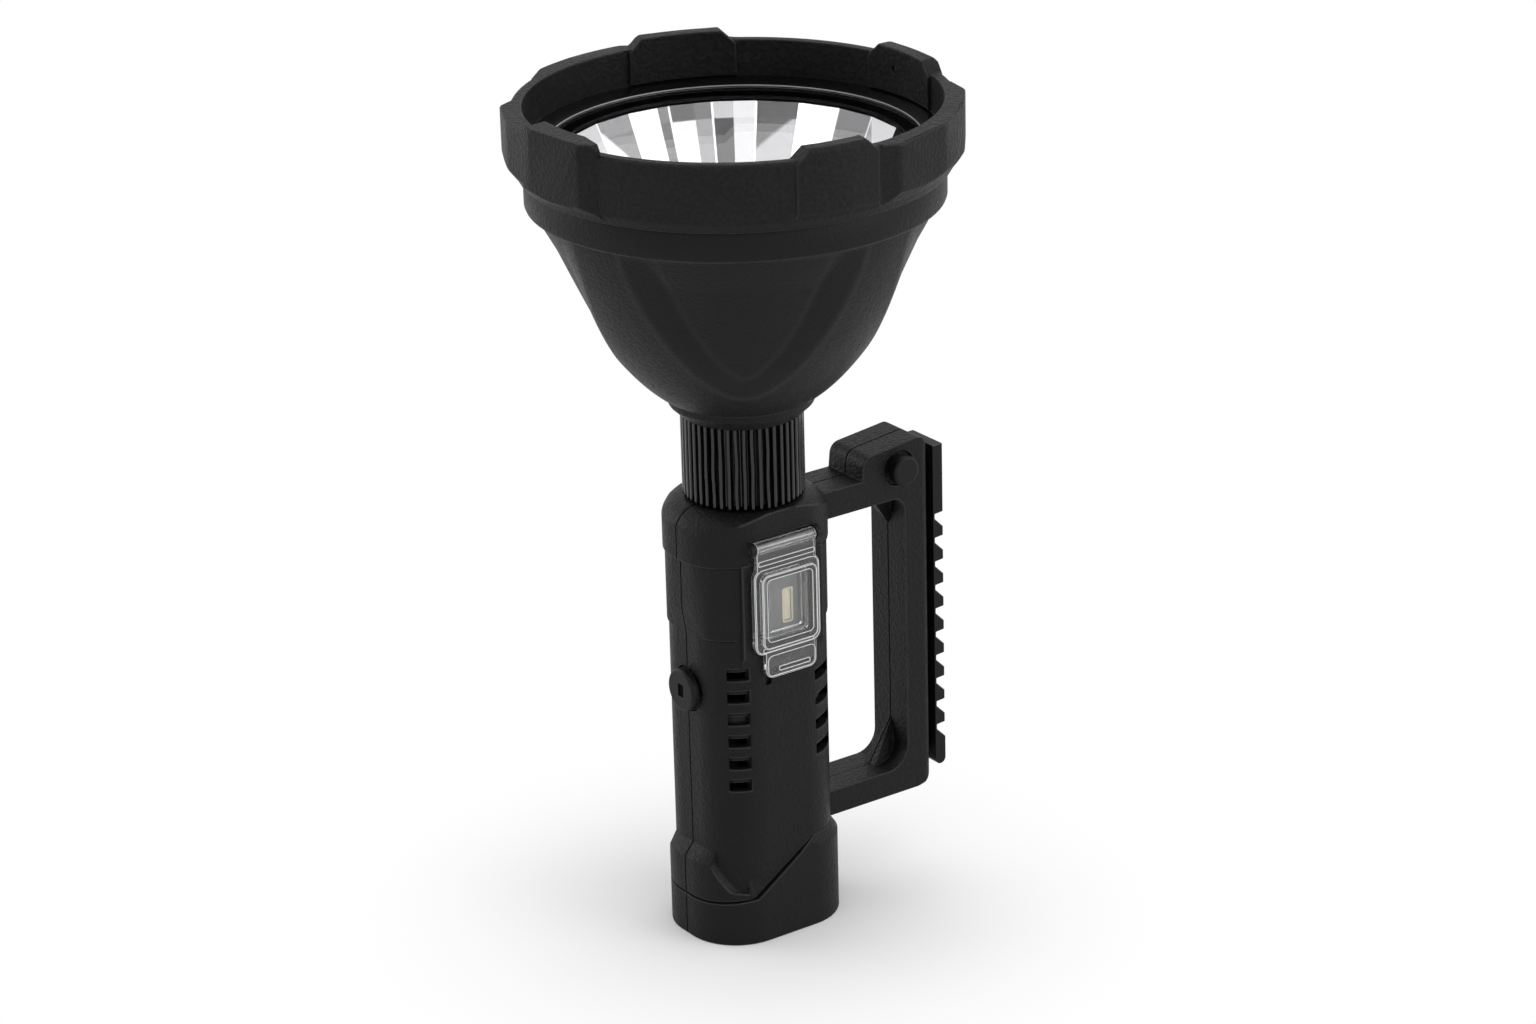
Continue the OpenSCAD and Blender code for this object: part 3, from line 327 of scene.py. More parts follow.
@dataclass(frozen=True)
class Moulding:
    """Finish of a moulded plastic or rubber piece.

    The grain's size and depth are in millimetres. A wide cloudy pattern and the grain together
    make the sheen and the colour uneven; the ranges are shares of the plain values.
    """

    name: str
    color: Triple
    roughness: float
    grain: Grain = Grain.FINE
    grain_size: float = 0.9
    grain_depth: float = 0.05
    specular: float = 0.15
    mottle: float = 0.25
    # Painted highlight: how much paler the marked edges are painted, in place of the light they catch.
    highlight_lift: float = 0.022
    cloud_scale: float = 55.0
    grain_share: float = 0.6
    rough_range: Point = (0.7, 1.3)
    highlight_range: Point = (0.4, 1.3)
    warp_scale: float = 0.5
    warp_reach: float = 0.9
    cell_softness: float = 0.7

    def material(self) -> Material:
        """Makes the material, with grain, uneven sheen, uneven colour and a patchy painted highlight that
        makes marked edges paler.

        Returns:
            The material.
        """
        graph = Graph(self.name)
        where = graph.place()
        shader = graph.shader
        shader.inputs["Specular IOR Level"].default_value = self.specular
        height = self._grain_height(graph, where)
        cloud = graph.noise(where, Scale=self.cloud_scale, Detail=4.0, Roughness=0.6).outputs["Fac"]
        sheen = graph.mix("FLOAT", self.grain_share, cloud, height)
        low, high = (self.roughness * share for share in self.rough_range)
        graph.link(graph.spread(sheen, low, high), shader.inputs["Roughness"])
        dark = (*(channel * (1.0 - self.mottle) for channel in self.color), 1.0)
        light = (*(channel * (1.0 + self.mottle) for channel in self.color), 1.0)
        # Painted highlight: marked edges are painted paler, in patches, in place of the light that they
        # catch.
        highlighted = (*(channel + self.highlight_lift for channel in self.color), 1.0)
        tint = graph.mix("RGBA", sheen, dark, light)
        patches = graph.spread(cloud, *self.highlight_range)
        highlight_share = graph.calculate("MULTIPLY", graph.attribute("painted_highlight").outputs["Fac"], patches)
        graph.link(graph.mix("RGBA", highlight_share, tint, highlighted), shader.inputs["Base Color"])
        bump = graph.add("ShaderNodeBump", Strength=1.0, Distance=self.grain_depth * MM)
        graph.link(height, bump.inputs["Height"])
        graph.link(bump.outputs["Normal"], shader.inputs["Normal"])
        return graph.material

    def _grain_height(self, graph: Graph, where: NodeSocket) -> NodeSocket:
        """Makes the height pattern of the grain.

        Args:
            graph: The material that takes the pattern.
            where: Socket of the coordinates.

        Returns:
            The socket of the height.
        """
        scale = 1.0 / (self.grain_size * MM)
        if self.grain is Grain.LEATHER:
            warp = graph.noise(where, Scale=scale * self.warp_scale, Detail=2.0)
            bend = graph.add("ShaderNodeVectorMath", operation="MULTIPLY_ADD")
            bend.inputs[1].default_value = (self.grain_size * MM * self.warp_reach,) * 3
            graph.link(warp.outputs["Color"], bend.inputs[0])
            graph.link(where, bend.inputs[2])
            cells = graph.add("ShaderNodeTexVoronoi", feature="SMOOTH_F1", Scale=scale)
            cells.inputs["Smoothness"].default_value = self.cell_softness
            graph.link(bend.outputs["Vector"], cells.inputs["Vector"])
            return cells.outputs["Distance"]
        detail = 1.0 if self.grain is Grain.POLISHED else 5.0
        return graph.noise(where, Scale=scale, Detail=detail, Roughness=0.65).outputs["Fac"]


@dataclass(frozen=True)
class ClearMoulding:
    """Finish of a clear plastic piece."""

    name: str
    tint: Triple
    roughness: float
    index: float
    clearness: float = 1.0
    polish: Polish = Polish(180.0, 2.0, 0.5, 1.6)

    def material(self) -> Material:
        """Makes the clear material, with faint uneven polish.

        Returns:
            The material.
        """
        graph = Graph(self.name)
        shader = graph.shader
        shader.inputs["Base Color"].default_value = (*self.tint, 1.0)
        shader.inputs["Transmission Weight"].default_value = self.clearness
        shader.inputs["IOR"].default_value = self.index
        graph.roughen(self.roughness, self.polish)
        return graph.material


@dataclass(frozen=True)
class MetalFinish:
    """Finish of a metal piece."""

    name: str
    color: Triple
    roughness: float
    polish: Polish = Polish(90.0, 3.0, 0.6, 1.4)

    def material(self) -> Material:
        """Makes the metal, with an uneven polish.

        Returns:
            The material.
        """
        graph = Graph(self.name)
        shader = graph.shader
        shader.inputs["Base Color"].default_value = (*self.color, 1.0)
        shader.inputs["Metallic"].default_value = 1.0
        graph.roughen(self.roughness, self.polish)
        return graph.material


@dataclass(frozen=True)
class PetalMirror:
    """Finish of the reflector: bright metal with a painted reflection that differs in tone from petal to
    petal.

    The cap, the blurs and the edge are shares of a petal's height or width.
    """

    name: str
    shine: float
    roughness: float
    cap_share: float = 0.895
    cap_blur: float = 0.004
    line_blur: float = 0.015
    edge_share: float = 0.03
    edge_core: float = 0.6
    polish: Polish = Polish(70.0, 2.0, 0.5, 1.5)

    def material(self) -> Material:
        """Makes the mirror, with the painted reflections that the piece carries and painted highlight lines
        between its petals.

        Returns:
            The material.
        """
        graph = Graph(self.name)
        shader = graph.shader
        shader.inputs["Metallic"].default_value = 1.0
        graph.roughen(self.roughness, self.polish)
        value = {name: graph.attribute(name).outputs["Fac"] for name in PETAL_VALUES}
        spot = graph.add("ShaderNodeSeparateXYZ")
        graph.link(graph.attribute("petal").outputs["Vector"], spot.inputs["Vector"])
        across, along = spot.outputs["X"], spot.outputs["Y"]
        slope = graph.calculate("MULTIPLY_ADD", across, value["slant"], value["line"])
        over = graph.calculate("SUBTRACT", along, slope)
        side = graph.spread(over, 0.0, 1.0, -self.line_blur, self.line_blur)
        painted_reflection = graph.mix("FLOAT", side, value["reflection_low"], value["reflection_high"])
        cap = graph.mix("FLOAT", side, value["cap_reflection_low"], value["cap_reflection_high"])
        above = graph.spread(along, 0.0, 1.0, self.cap_share - self.cap_blur, self.cap_share + self.cap_blur)
        capped = graph.mix("FLOAT", above, painted_reflection, cap)
        # Painted highlight: a bright line along each petal's sides.
        inward = graph.calculate("PINGPONG", across, 0.5)
        edge = graph.spread(inward, 1.0, 0.0, self.edge_share * self.edge_core, self.edge_share)
        lined = graph.mix("FLOAT", edge, capped, 1.0)
        color = graph.add("ShaderNodeCombineColor")
        for channel in ("Red", "Green", "Blue"):
            graph.link(graph.spread(lined, 0.0, self.shine), color.inputs[channel])
        graph.link(color.outputs["Color"], shader.inputs["Base Color"])
        return graph.material


BLACK: Triple = (0.0058, 0.0058, 0.006)
DEEP_BLACK: Triple = (0.003, 0.003, 0.0031)
WORN_BLACK: Triple = (0.0095, 0.0095, 0.0098)

# The finish of a whole node has the name of its slot in the record.
FINISHES = (
    Moulding("body_plastic", BLACK, 0.5, Grain.LEATHER, 1.0, 0.16, mottle=0.5),
    Moulding("head_plastic", BLACK, 0.5, Grain.LEATHER, 1.0, 0.11, mottle=0.4),
    Moulding("bumper_rubber", BLACK, 0.54, Grain.LEATHER, 1.0, 0.14, mottle=0.4),
    Moulding("bezel_rubber", WORN_BLACK, 0.52, Grain.LEATHER, 1.1, 0.2, 0.12, 0.7, 0.012),
    Moulding("seal_rubber", DEEP_BLACK, 0.6),
    Moulding("neck_plastic", DEEP_BLACK, 0.13, Grain.POLISHED, 3.0, 0.05, 0.5),
    # Painted highlight: the ring's and the rail's rounded edges are painted pale.
    Moulding("ring_plastic", DEEP_BLACK, 0.2, Grain.POLISHED, 2.0, 0.01, 0.4, highlight_lift=0.3),
    Moulding("rail_plastic", BLACK, 0.42, Grain.FINE, 0.4, 0.03, highlight_lift=0.06),
    Moulding("button_plastic", BLACK, 0.44, Grain.FINE, 0.4, 0.03),
    # Painted shade in the rounded seam between the half shells.
    Moulding("seam_dark", (0.0008,) * 3, 0.7, Grain.POLISHED, 1.0, 0.0, 0.02, highlight_lift=0.0),
    Moulding("window_dark", (0.0006,) * 3, 0.5, Grain.POLISHED, 1.0, 0.0, 0.02),
    Moulding("holder_plastic", (0.03, 0.03, 0.032), 0.5),
    Moulding("board_resin", (0.02, 0.1, 0.04), 0.4),
    Moulding("socket_cream", (0.82, 0.75, 0.58), 0.4, mottle=0.06),
    Moulding("panel_grey", (0.21, 0.21, 0.213), 0.4, mottle=0.06),
    Moulding("lead_red", (0.45, 0.01, 0.01), 0.4),
    Moulding("source_phosphor", (0.85, 0.7, 0.22), 0.3, mottle=0.05),
    ClearMoulding("lens_clear", (0.99, 0.99, 1.0), 0.004, 1.12),
    ClearMoulding("door_clear", (0.98, 0.985, 0.985), 0.05, 1.4, 0.975),
    # Painted highlight: near-white on the door's edges and ridges, in place of the light the clear plastic
    # bends and mirrors.
    ClearMoulding("door_frost", (0.95, 0.95, 0.95), 0.4, 1.4, 0.3),
    PetalMirror("reflector_mirror", 0.97, 0.06),
    MetalFinish("source_board_metal", (0.85, 0.85, 0.85), 0.4),
    MetalFinish("sink_aluminium", (0.6, 0.61, 0.63), 0.35),
    Moulding("cell_wrap", (0.01, 0.01, 0.011), 0.4, mottle=0.05),
    MetalFinish("contact_brass", (0.75, 0.58, 0.25), 0.3),
    MetalFinish("screw_steel", (0.1, 0.1, 0.104), 0.35),
)


@dataclass
class Workshop:
    """The loaded frame, its materials, and what every piece needs to be placed."""

    frame: dict
    materials: dict[str, Material]
    slots: dict[str, str] = field(init=False)
    bodies: dict[str, str] = field(init=False)

    def __post_init__(self) -> None:
        """Reads which slot and body each node has."""
        record = self.frame["record"]
        self.slots = {row["node"]: row["material_slot"] for row in record["subparts"]}
        groups = record["behaviour"]["bodies"]
        self.bodies = {node: body for body, nodes in groups.items() for node in nodes}

    def paint_node(self, node: str) -> None:
        """Gives a carried-over node its finish.

        Args:
            node: The node to paint.
        """
        mesh = self.frame["nodes"][node].data
        mesh.materials.clear()
        mesh.materials.append(self.materials[self.slots[node]])

    def place(self, bm: BMesh, name: str, node: str, smooth_angle: float, finish: str = "") -> Object:
        """Turns a finished bmesh into a piece that moves with a node.

        Args:
            bm: The piece's mesh, which is freed.
            name: The piece's name.
            node: The node that it belongs to.
            smooth_angle: Faces that meet under this angle, in degrees, are shaded smooth.
            finish: Name of its finish, where that isn't the node's own.

        Returns:
            The new object.
        """
        mesh = bpy.data.meshes.new(name)
        limit = math.radians(smooth_angle)
        for face in bm.faces:
            face.smooth = True
        for edge in bm.edges:
            edge.smooth = len(edge.link_faces) == 2 and edge.calc_face_angle(0.0) < limit
        bm.to_mesh(mesh)
        bm.free()
        mesh.materials.append(self.materials[finish or self.slots[node]])
        piece = bpy.data.objects.new(name, mesh)
        bpy.context.scene.collection.objects.link(piece)
        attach(piece, self.bodies[node])
        LOG.info("%s rides with %s, %d faces", name, node, len(mesh.polygons))
        return piece

    def hang(self, bm: BMesh, name: str, node: str, smooth_angle: float) -> Object:
        """Turns a finished bmesh into a piece that stands for a node.

        Args:
            bm: The piece's mesh, which is freed.
            name: The piece's name.
            node: The node that it replaces.
            smooth_angle: Faces that meet under this angle, in degrees, are shaded smooth.

        Returns:
            The new object.
        """
        piece = self.place(bm, name, node, smooth_angle)
        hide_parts(node)
        return piece

    def merged(self, node: str) -> BMesh:
        """Copies a node's mesh with its loose triangles joined and its flat faces made whole.

        Args:
            node: The node to copy.

        Returns:
            The joined copy.
        """
        bm = bmesh.new()
        bm.from_mesh(self.frame["nodes"][node].data)
        bmesh.ops.remove_doubles(bm, verts=bm.verts, dist=MERGE_DISTANCE)
        bmesh.ops.dissolve_limit(bm, angle_limit=FLAT_ANGLE, verts=bm.verts, edges=bm.edges)
        return bm


@dataclass(frozen=True)
class PanelFade:
    """How the front panel's upright borders sink into the round corners below the door, in millimetres.

    Each height comes with the share of the drop that it has.
    """

    face_y: float = -18.6
    edge_x: float = 14.3
    start_x: float = 7.2
    sweep_r: float = 16.7
    weld: float = 0.1
    near: float = 0.02
    step_d: float = 2.0
    cuts_x: tuple[float, ...] = (7.2, 9.0, 11.0, 12.2, 13.3)
    heights: tuple[Point, ...] = ((17.0, 0.0), (21.0, 1.0), (90.0, 1.0), (92.5, 0.0))

    def apply(self, bm: BMesh) -> None:
        """Bends the panel's borders back and joins them to the corners.

        Args:
            bm: The front shell's mesh, before its edges are rounded.
        """
        for x in self.cuts_x:
            for side in (-x, x):
                self._cut(bm, Vector((side, 0.0, 0.0)) * MM, Vector((1.0, 0.0, 0.0)))
        for z, _ in self.heights:
            self._cut(bm, Vector((0.0, 0.0, z)) * MM, Vector((0.0, 0.0, 1.0)))
        for point in bm.verts:
            run = abs(point.co.x) / MM - self.start_x
            if self._on_panel(point) and 0.0 < run < self.edge_x - self.start_x + self.near:
                drop = self.sweep_r - math.sqrt(self.sweep_r**2 - run**2)
                point.co.y += drop * self._share(point.co.z / MM) * MM
        border = [point for point in bm.verts if self._on_border(point)]
        bmesh.ops.remove_doubles(bm, verts=border, dist=self.weld * MM)

    def _on_panel(self, point: BMVert) -> bool:
        """Tells whether a point lies in the panel's face."""
        return abs(point.co.y / MM - self.face_y) < self.near

    def _on_border(self, point: BMVert) -> bool:
        """Tells whether a point lies in the step at one of the panel's sides."""
        at_side = abs(abs(point.co.x) / MM - self.edge_x) < self.near
        return at_side and point.co.y / MM < self.face_y + self.step_d

    def _share(self, height: float) -> float:
        """Gives the share of the drop at a height.

        Args:
            height: Height above the base.

        Returns:
            The share, 0 to 1.
        """
        for (low, first), (high, second) in zip(self.heights, self.heights[1:]):
            if low <= height <= high:
                return first + (second - first) * (height - low) / (high - low)
        return 0.0

    def _cut(self, bm: BMesh, place: Vector, normal: Vector) -> None:
        """Cuts the panel's face and its steps along a plane.

        Args:
            bm: The front shell's mesh.
            place: A point of the plane.
            normal: The plane's direction.
        """
        faces = [
            face
            for face in bm.faces
            if all(self._on_panel(point) for point in face.verts)
            or all(self._on_border(point) for point in face.verts)
        ]
        edges = {edge for face in faces for edge in face.edges}
        points = {point for face in faces for point in face.verts}
        bmesh.ops.bisect_plane(
            bm, geom=[*points, *edges, *faces], dist=MERGE_DISTANCE, plane_co=place, plane_no=normal
        )


@dataclass
class RoundedCopy:
    """A moulded piece that follows its node, with its sharp edges rounded, a painted highlight on its outer
    roundings and a painted shade in its seam.

    Radii and heights are in millimetres, angles in degrees. The seam is the plane where two half
    shells meet. Edges at the height of the foot's flare, where many meet, stay sharp.
    """

    node: str
    radius: float
    seam_radius: float = 0.0
    # Finishes of the painted highlight on outer roundings and of the painted shade in the seam.
    edge_finish: str = ""
    seam_finish: str = ""
    segments: int = 2
    blunt_angle: float = 24.0
    sharp_angle: float = 50.0
    smooth_angle: float = 32.0
    fade: PanelFade | None = None
    flare_z: float = -1.0
    flare_reach: float = 0.2
    seam_reach: float = 0.05
    thrown_share: float = 0.5

    def build(self, shop: Workshop) -> None:
        """Builds the piece.

        Args:
            shop: Where pieces are placed.
        """
        bm = shop.merged(self.node)
        if self.fade:
            self.fade.apply(bm)
        bm.faces.layers.float.new("painted_highlight")
        surface = BVHTree.FromBMesh(bm)
        strips = self._round(bm, self.radius, self.sharp_angle, on_seam=False)
        self._mark_highlights(bm, strips, surface)
        # Painted shade: the seam's rounding takes the near-black seam finish.
        if self.seam_radius:
            for face in self._round(bm, self.seam_radius, self.sharp_angle, on_seam=True):
                face.material_index = 1
        self._round(bm, self.radius, self.blunt_angle, on_seam=False)
        self._pull_back(bm, surface)
        piece = shop.hang(bm, f"{self.node}_rounded", self.node, self.smooth_angle)
        for finish in (self.edge_finish, self.seam_finish):
            if finish:
                piece.data.materials.append(shop.materials[finish])
        shading = piece.modifiers.new("even_shading", "WEIGHTED_NORMAL")
        shading.mode = "FACE_AREA"
        shading.weight = 100
        shading.keep_sharp = True

    def _round(self, bm: BMesh, radius: float, angle: float, on_seam: bool) -> list[BMFace]:
        """Rounds the edges on the seam, or all the others, that turn by more than an angle.

        Args:
            bm: The piece's mesh.
            radius: Radius of the rounding.
            angle: Least angle between the edge's faces, in degrees.
            on_seam: Whether the seam's edges are meant.

        Returns:
            The faces of the roundings.
        """
        limit = math.radians(angle)
        painted_highlight = bm.faces.layers.float["painted_highlight"]
        shortest = radius * MM
        crowded = {point for edge in bm.edges if edge.calc_length() < shortest for point in edge.verts}
        sharp = []
        for edge in bm.edges:
            if all(abs(point.co.z / MM - self.flare_z) < self.flare_reach for point in edge.verts):
                continue
            flat = all(abs(point.co.y) < self.seam_reach * MM for point in edge.verts)
            in_seam = bool(self.seam_radius) and flat
            if in_seam is not on_seam or edge.calc_face_angle(0.0) < limit:
                continue
            if not crowded.intersection(edge.verts) and not any(face[painted_highlight] for face in edge.link_faces):
                sharp.append(edge)
        return bevel(bm, sharp, radius, self.segments)

    def _mark_highlights(self, bm: BMesh, strips: list[BMFace], surface: BVHTree) -> None:
        """Marks the roundings of outer edges for the painted highlight, and gives them their own finish if
        there is one.

        Args:
            bm: The piece's mesh.
            strips: The faces of the roundings.
            surface: The piece's surface before it was rounded.
        """
        painted_highlight = bm.faces.layers.float["painted_highlight"]
        for face in strips:
            middle = face.calc_center_median()
            near, normal, _, _ = surface.find_nearest(middle)
            if (middle - near).dot(normal) < 0.0:
                face[painted_highlight] = 1.0
                face.material_index = 1 if self.edge_finish else 0

    def _pull_back(self, bm: BMesh, surface: BVHTree) -> None:
        """Puts points that a rounding threw off the piece back on its surface.

        Args:
            bm: The rounded mesh.
            surface: The piece's surface before it was rounded.
        """
        for point in bm.verts:
            near, _, _, distance = surface.find_nearest(point.co)
            if distance > self.radius * MM * self.thrown_share:
                point.co = near


@dataclass(frozen=True)
class HeadBell:
    """The bell under the bezel, with its band, four sunk shields and a painted highlight along their creases
    and the band's lip, in millimetres.
    """

    node: str = "head_shell"
    bell: Curve = ((22.0, 167.6), (35.8, 175.6), (52.5, 204.6), (58.8, 226.6))
    shield_floor: Curve = ((22.0, 167.6), (36.5, 175.6), (46.4, 204.6), (57.3, 226.6))
    shield_edge: Curve = ((34.8, 226.6), (32.5, 210.0), (13.0, 177.0), (0.0, 177.0))
    shield_turn: float = 57.3
    shield_count: int = 4
    low_border: float = 7.0
    high_border: float = 9.5
    crease_z: float = 216.0
    crease_share: float = 0.6
    crease_w: float = 0.8
    # Painted highlight along the shields' creases and the band's lower lip.
    crease_highlight: float = 0.5
    inner_share: float = 0.6
    lip_highlight: float = 0.8
    near: float = 0.01
    edge_steps: int = 40
    rows: int = 72
    steps: int = 432
    smooth_angle: float = 40.0
    band: tuple[Point, ...] = (
        (59.5, 226.65), (60.0, 226.95), (60.2, 227.5), (60.2, 231.0), (60.2, 234.9), (60.0, 235.4),
        (59.6, 235.6), (59.4, 235.6), (59.4, 242.6), (56.2, 242.6), (56.2, 237.6), (53.2, 237.6),
    )
    inside: tuple[Point, ...] = ((53.0, 226.6), (46.0, 206.0), (34.0, 184.0), (20.5, 172.0), (20.1, 170.6))
    bore: tuple[Point, ...] = ((12.1, 170.6), (12.1, 167.6), (21.4, 167.6))

    def build(self, shop: Workshop) -> None:
        """Builds the bell.

        Args:
            shop: Where pieces are placed.
        """
        shares = [(i + 1) / (self.rows + 1) for i in range(self.rows)] + [1.0]
        skin = [bezier(self.bell, share) for share in shares]
        bm = lathe([*self.bore, *skin, *self.band, *self.inside], self.steps, self.shield_turn)
        depths = {}
        for share, (radius, height) in zip(shares, skin):
            depths[round(height, 3)] = (radius, radius - bezier(self.shield_floor, share)[0])
        edge = [bezier(self.shield_edge, i / self.edge_steps) for i in range(self.edge_steps + 1)]
        # Painted highlight: points on the creases and the lip are marked paler.
        painted_highlight = bm.verts.layers.float.new("painted_highlight")
        lip_z = self.band[1][1]
        pitch = math.tau / self.shield_count
        for point in bm.verts:
            height = point.co.z / MM
            radius, depth = depths.get(round(height, 3), (0.0, 0.0))
            if abs(math.hypot(point.co.x, point.co.y) / MM - radius) > self.near:
                point[painted_highlight] = self.lip_highlight if abs(height - lip_z) < self.near else 0.0
                continue
            turn = math.atan2(point.co.y, point.co.x) - math.radians(self.shield_turn)
            turn = (turn + pitch / 2.0) % pitch - pitch / 2.0
            share, crease = self._sunk(edge, abs(radius * math.sin(turn)), height)
            scale = (radius - depth * share) / radius
            point.co.x *= scale
            point.co.y *= scale
            point[painted_highlight] = crease
        shop.hang(bm, "head_bell", self.node, self.smooth_angle)

    def _sunk(self, edge: list[Point], width: float, height: float) -> tuple[float, float]:
        """Gives how far a point of a shield is sunk, and how near it lies to a crease.

        Args:
            edge: Points along half of the shield's outline.
            width: Distance from the shield's middle line.
            height: Height above the base.

        Returns:
            A share of the shield's depth and the painted highlight of the crease, both 0 to 1.
        """
        reach = 0.0
        nearest = math.inf
        for (wide, high), (narrow, low) in zip(edge, edge[1:]):
            if low <= height <= high and high > low:
                reach = narrow + (wide - narrow) * (height - low) / (high - low)
            run_w, run_h = narrow - wide, low - high
            step_w, step_h = width - wide, height - high
            along = clamp((step_w * run_w + step_h * run_h) / (run_w * run_w + run_h * run_h))
            nearest = min(nearest, math.hypot(step_w - run_w * along, step_h - run_h * along))
        outer = math.exp(-((nearest / self.crease_w) ** 2))
        if width >= reach:
            return 0.0, self.crease_highlight * outer
        rise = clamp((height - edge[-1][1]) / (self.crease_z - edge[-1][1]))
        border = self.low_border + (self.high_border - self.low_border) * rise
        inner = math.exp(-(((nearest - border) / self.crease_w) ** 2))
        side = clamp(nearest / border)
        top = clamp((edge[0][1] - height) / (edge[0][1] - self.crease_z))
        share = min(side, self.crease_share + (1.0 - self.crease_share) * top)
        return share, self.crease_highlight * max(outer, self.inner_share * inner)


@dataclass(frozen=True)
class RibbedNeck:
    """The glossy neck with its uneven upright ribs, in millimetres.

    The ribs' shifts, sways and flanks are shares of half a rib's width.
    """

    node: str = "neck_sleeve"
    low_z: float = 136.6
    high_z: float = 162.1
    outer_r: float = 18.0
    inner_r: float = 13.5
    rib_depth: float = 1.9
    rib_count: int = 48
    steps: int = 960
    rows: int = 18
    seed: int = 11
    foot_rows: Point = (0.3, 0.8)
    foot_round: float = 0.9
    foot_h: float = 0.8
    skin_t: float = 0.5
    shift: float = 0.2
    sway: float = 0.12
    sway_pitch: float = 0.35
    least_depth: float = 0.6
    flank_start: float = 0.3
    flank_w: float = 0.5
    crown: float = 0.12
    smooth_angle: float = 50.0

    def build(self, shop: Workshop) -> None:
        """Builds the neck.

        Args:
            shop: Where pieces are placed.
        """
        heights = [self.low_z + (self.high_z - self.low_z) * i / self.rows for i in range(self.rows + 1)]
        heights[1:1] = [self.low_z + row for row in self.foot_rows]
        outline = [(self.outer_r, height) for height in heights]
        outline += [(self.inner_r, self.high_z), (self.inner_r, self.low_z)]
        bm = lathe(outline, self.steps)
        chance = random.Random(self.seed)
        ribs = range(self.rib_count)
        shifts = [chance.uniform(-self.shift, self.shift) for _ in ribs]
        sways = [(chance.uniform(0.0, self.sway), chance.uniform(0.0, math.tau)) for _ in ribs]
        depths = [chance.uniform(self.least_depth, 1.0) for _ in ribs]
        for point in bm.verts:
            radius = math.hypot(point.co.x, point.co.y) / MM
            if radius < self.outer_r - self.skin_t:
                continue
            height = point.co.z / MM
            turn = math.atan2(point.co.y, point.co.x) / math.tau * self.rib_count
            rib = math.floor(turn) % self.rib_count
            size, phase = sways[rib]
            lean = shifts[rib] + size * math.sin(height * self.sway_pitch + phase)
            across = 2.0 * (turn - math.floor(turn)) - 1.0
            across = clamp(0.5 + 0.5 * (across - lean) / (1.0 - lean * across)) * 2.0 - 1.0
            flank = clamp((abs(across) - self.flank_start) / self.flank_w)
            sunk = self.rib_depth * depths[rib] * flank * flank * (3.0 - 2.0 * flank)
            sunk += self.crown * across * across
            sunk += self.foot_round * clamp(1.0 - (height - self.low_z) / self.foot_h) ** 2
            scale = (self.outer_r - sunk) / radius
            point.co.x *= scale
            point.co.y *= scale
        shop.hang(bm, "neck_ribs", self.node, self.smooth_angle)


@dataclass(frozen=True)
class RidgeFrame:
    """One rounded frame on a face of the door, in millimetres.

    It is sunk into the face by a share of its height.
    """

    x: float
    z: float
    half_w: float
    half_h: float
    corner: float
    face_y: float
    corner_steps: int = 5
    sunk_share: float = 0.3

    def build(self, line: float, height: float) -> BMesh:
        """Builds the frame as a closed ring.

        Args:
            line: Width of the ridge.
            height: How far it stands out from the face.

        Returns:
            The ring.
        """
        bm = bmesh.new()
        corners = bmesh.ops.create_grid(bm, x_segments=1, y_segments=1, size=1.0)["verts"]
        for point in corners:
            x, z = point.co.x * self.half_w + self.x, point.co.y * self.half_h + self.z
            point.co = Vector((x, self.face_y + height * self.sunk_share, z)) * MM
        bevel(bm, corners, self.corner, self.corner_steps, affect="VERTICES")
        plate = list(bm.faces)
        bmesh.ops.inset_region(bm, faces=plate, thickness=line * MM, use_boundary=True, use_even_offset=True)
        bmesh.ops.delete(bm, geom=plate, context="FACES_ONLY")
        raised = bmesh.ops.extrude_face_region(bm, geom=list(bm.faces), use_keep_orig=True)["geom"]
        for item in raised:
            if isinstance(item, BMVert):
                item.co.y -= height * (1.0 + self.sunk_share) * MM
        bmesh.ops.recalc_face_normals(bm, faces=bm.faces)
        return bm


@dataclass(frozen=True)
class DoorRidges:
    """The fine raised lines that frame the clear door's steps, window and tab, painted near-white as a
    painted highlight, in millimetres.
    """

    node: str = "charge_door"
    finish: str = "door_frost"
    line: float = 0.18
    height: float = 0.2
    smooth_angle: float = 40.0
    frames: tuple[RidgeFrame, ...] = (
        RidgeFrame(0.0, 107.0, 11.3, 13.2, 2.8, -20.6),
        RidgeFrame(0.0, 107.0, 9.5, 11.4, 2.1, -22.0),
        RidgeFrame(0.0, 107.4, 8.2, 9.9, 1.5, -22.0),
        RidgeFrame(1.0, 89.3, 8.5, 3.3, 1.7, -20.6),
        RidgeFrame(2.0, 87.9, 5.6, 0.75, 0.5, -20.6),
        RidgeFrame(0.0, 122.2, 10.0, 0.8, 0.4, -20.6),
        RidgeFrame(0.0, 94.7, 9.0, 0.7, 0.4, -20.6),
    )

    def build(self, shop: Workshop) -> None:
        """Builds the ridges.

        Args:
            shop: Where pieces are placed.
        """
        whole = bmesh.new()
        for frame in self.frames:
            ring = frame.build(self.line, self.height)
            mesh = bpy.data.meshes.new("ridge_frame")
            ring.to_mesh(mesh)
            ring.free()
            whole.from_mesh(mesh)
            bpy.data.meshes.remove(mesh)
        shop.place(whole, "door_highlight_ridges", self.node, self.smooth_angle, self.finish)


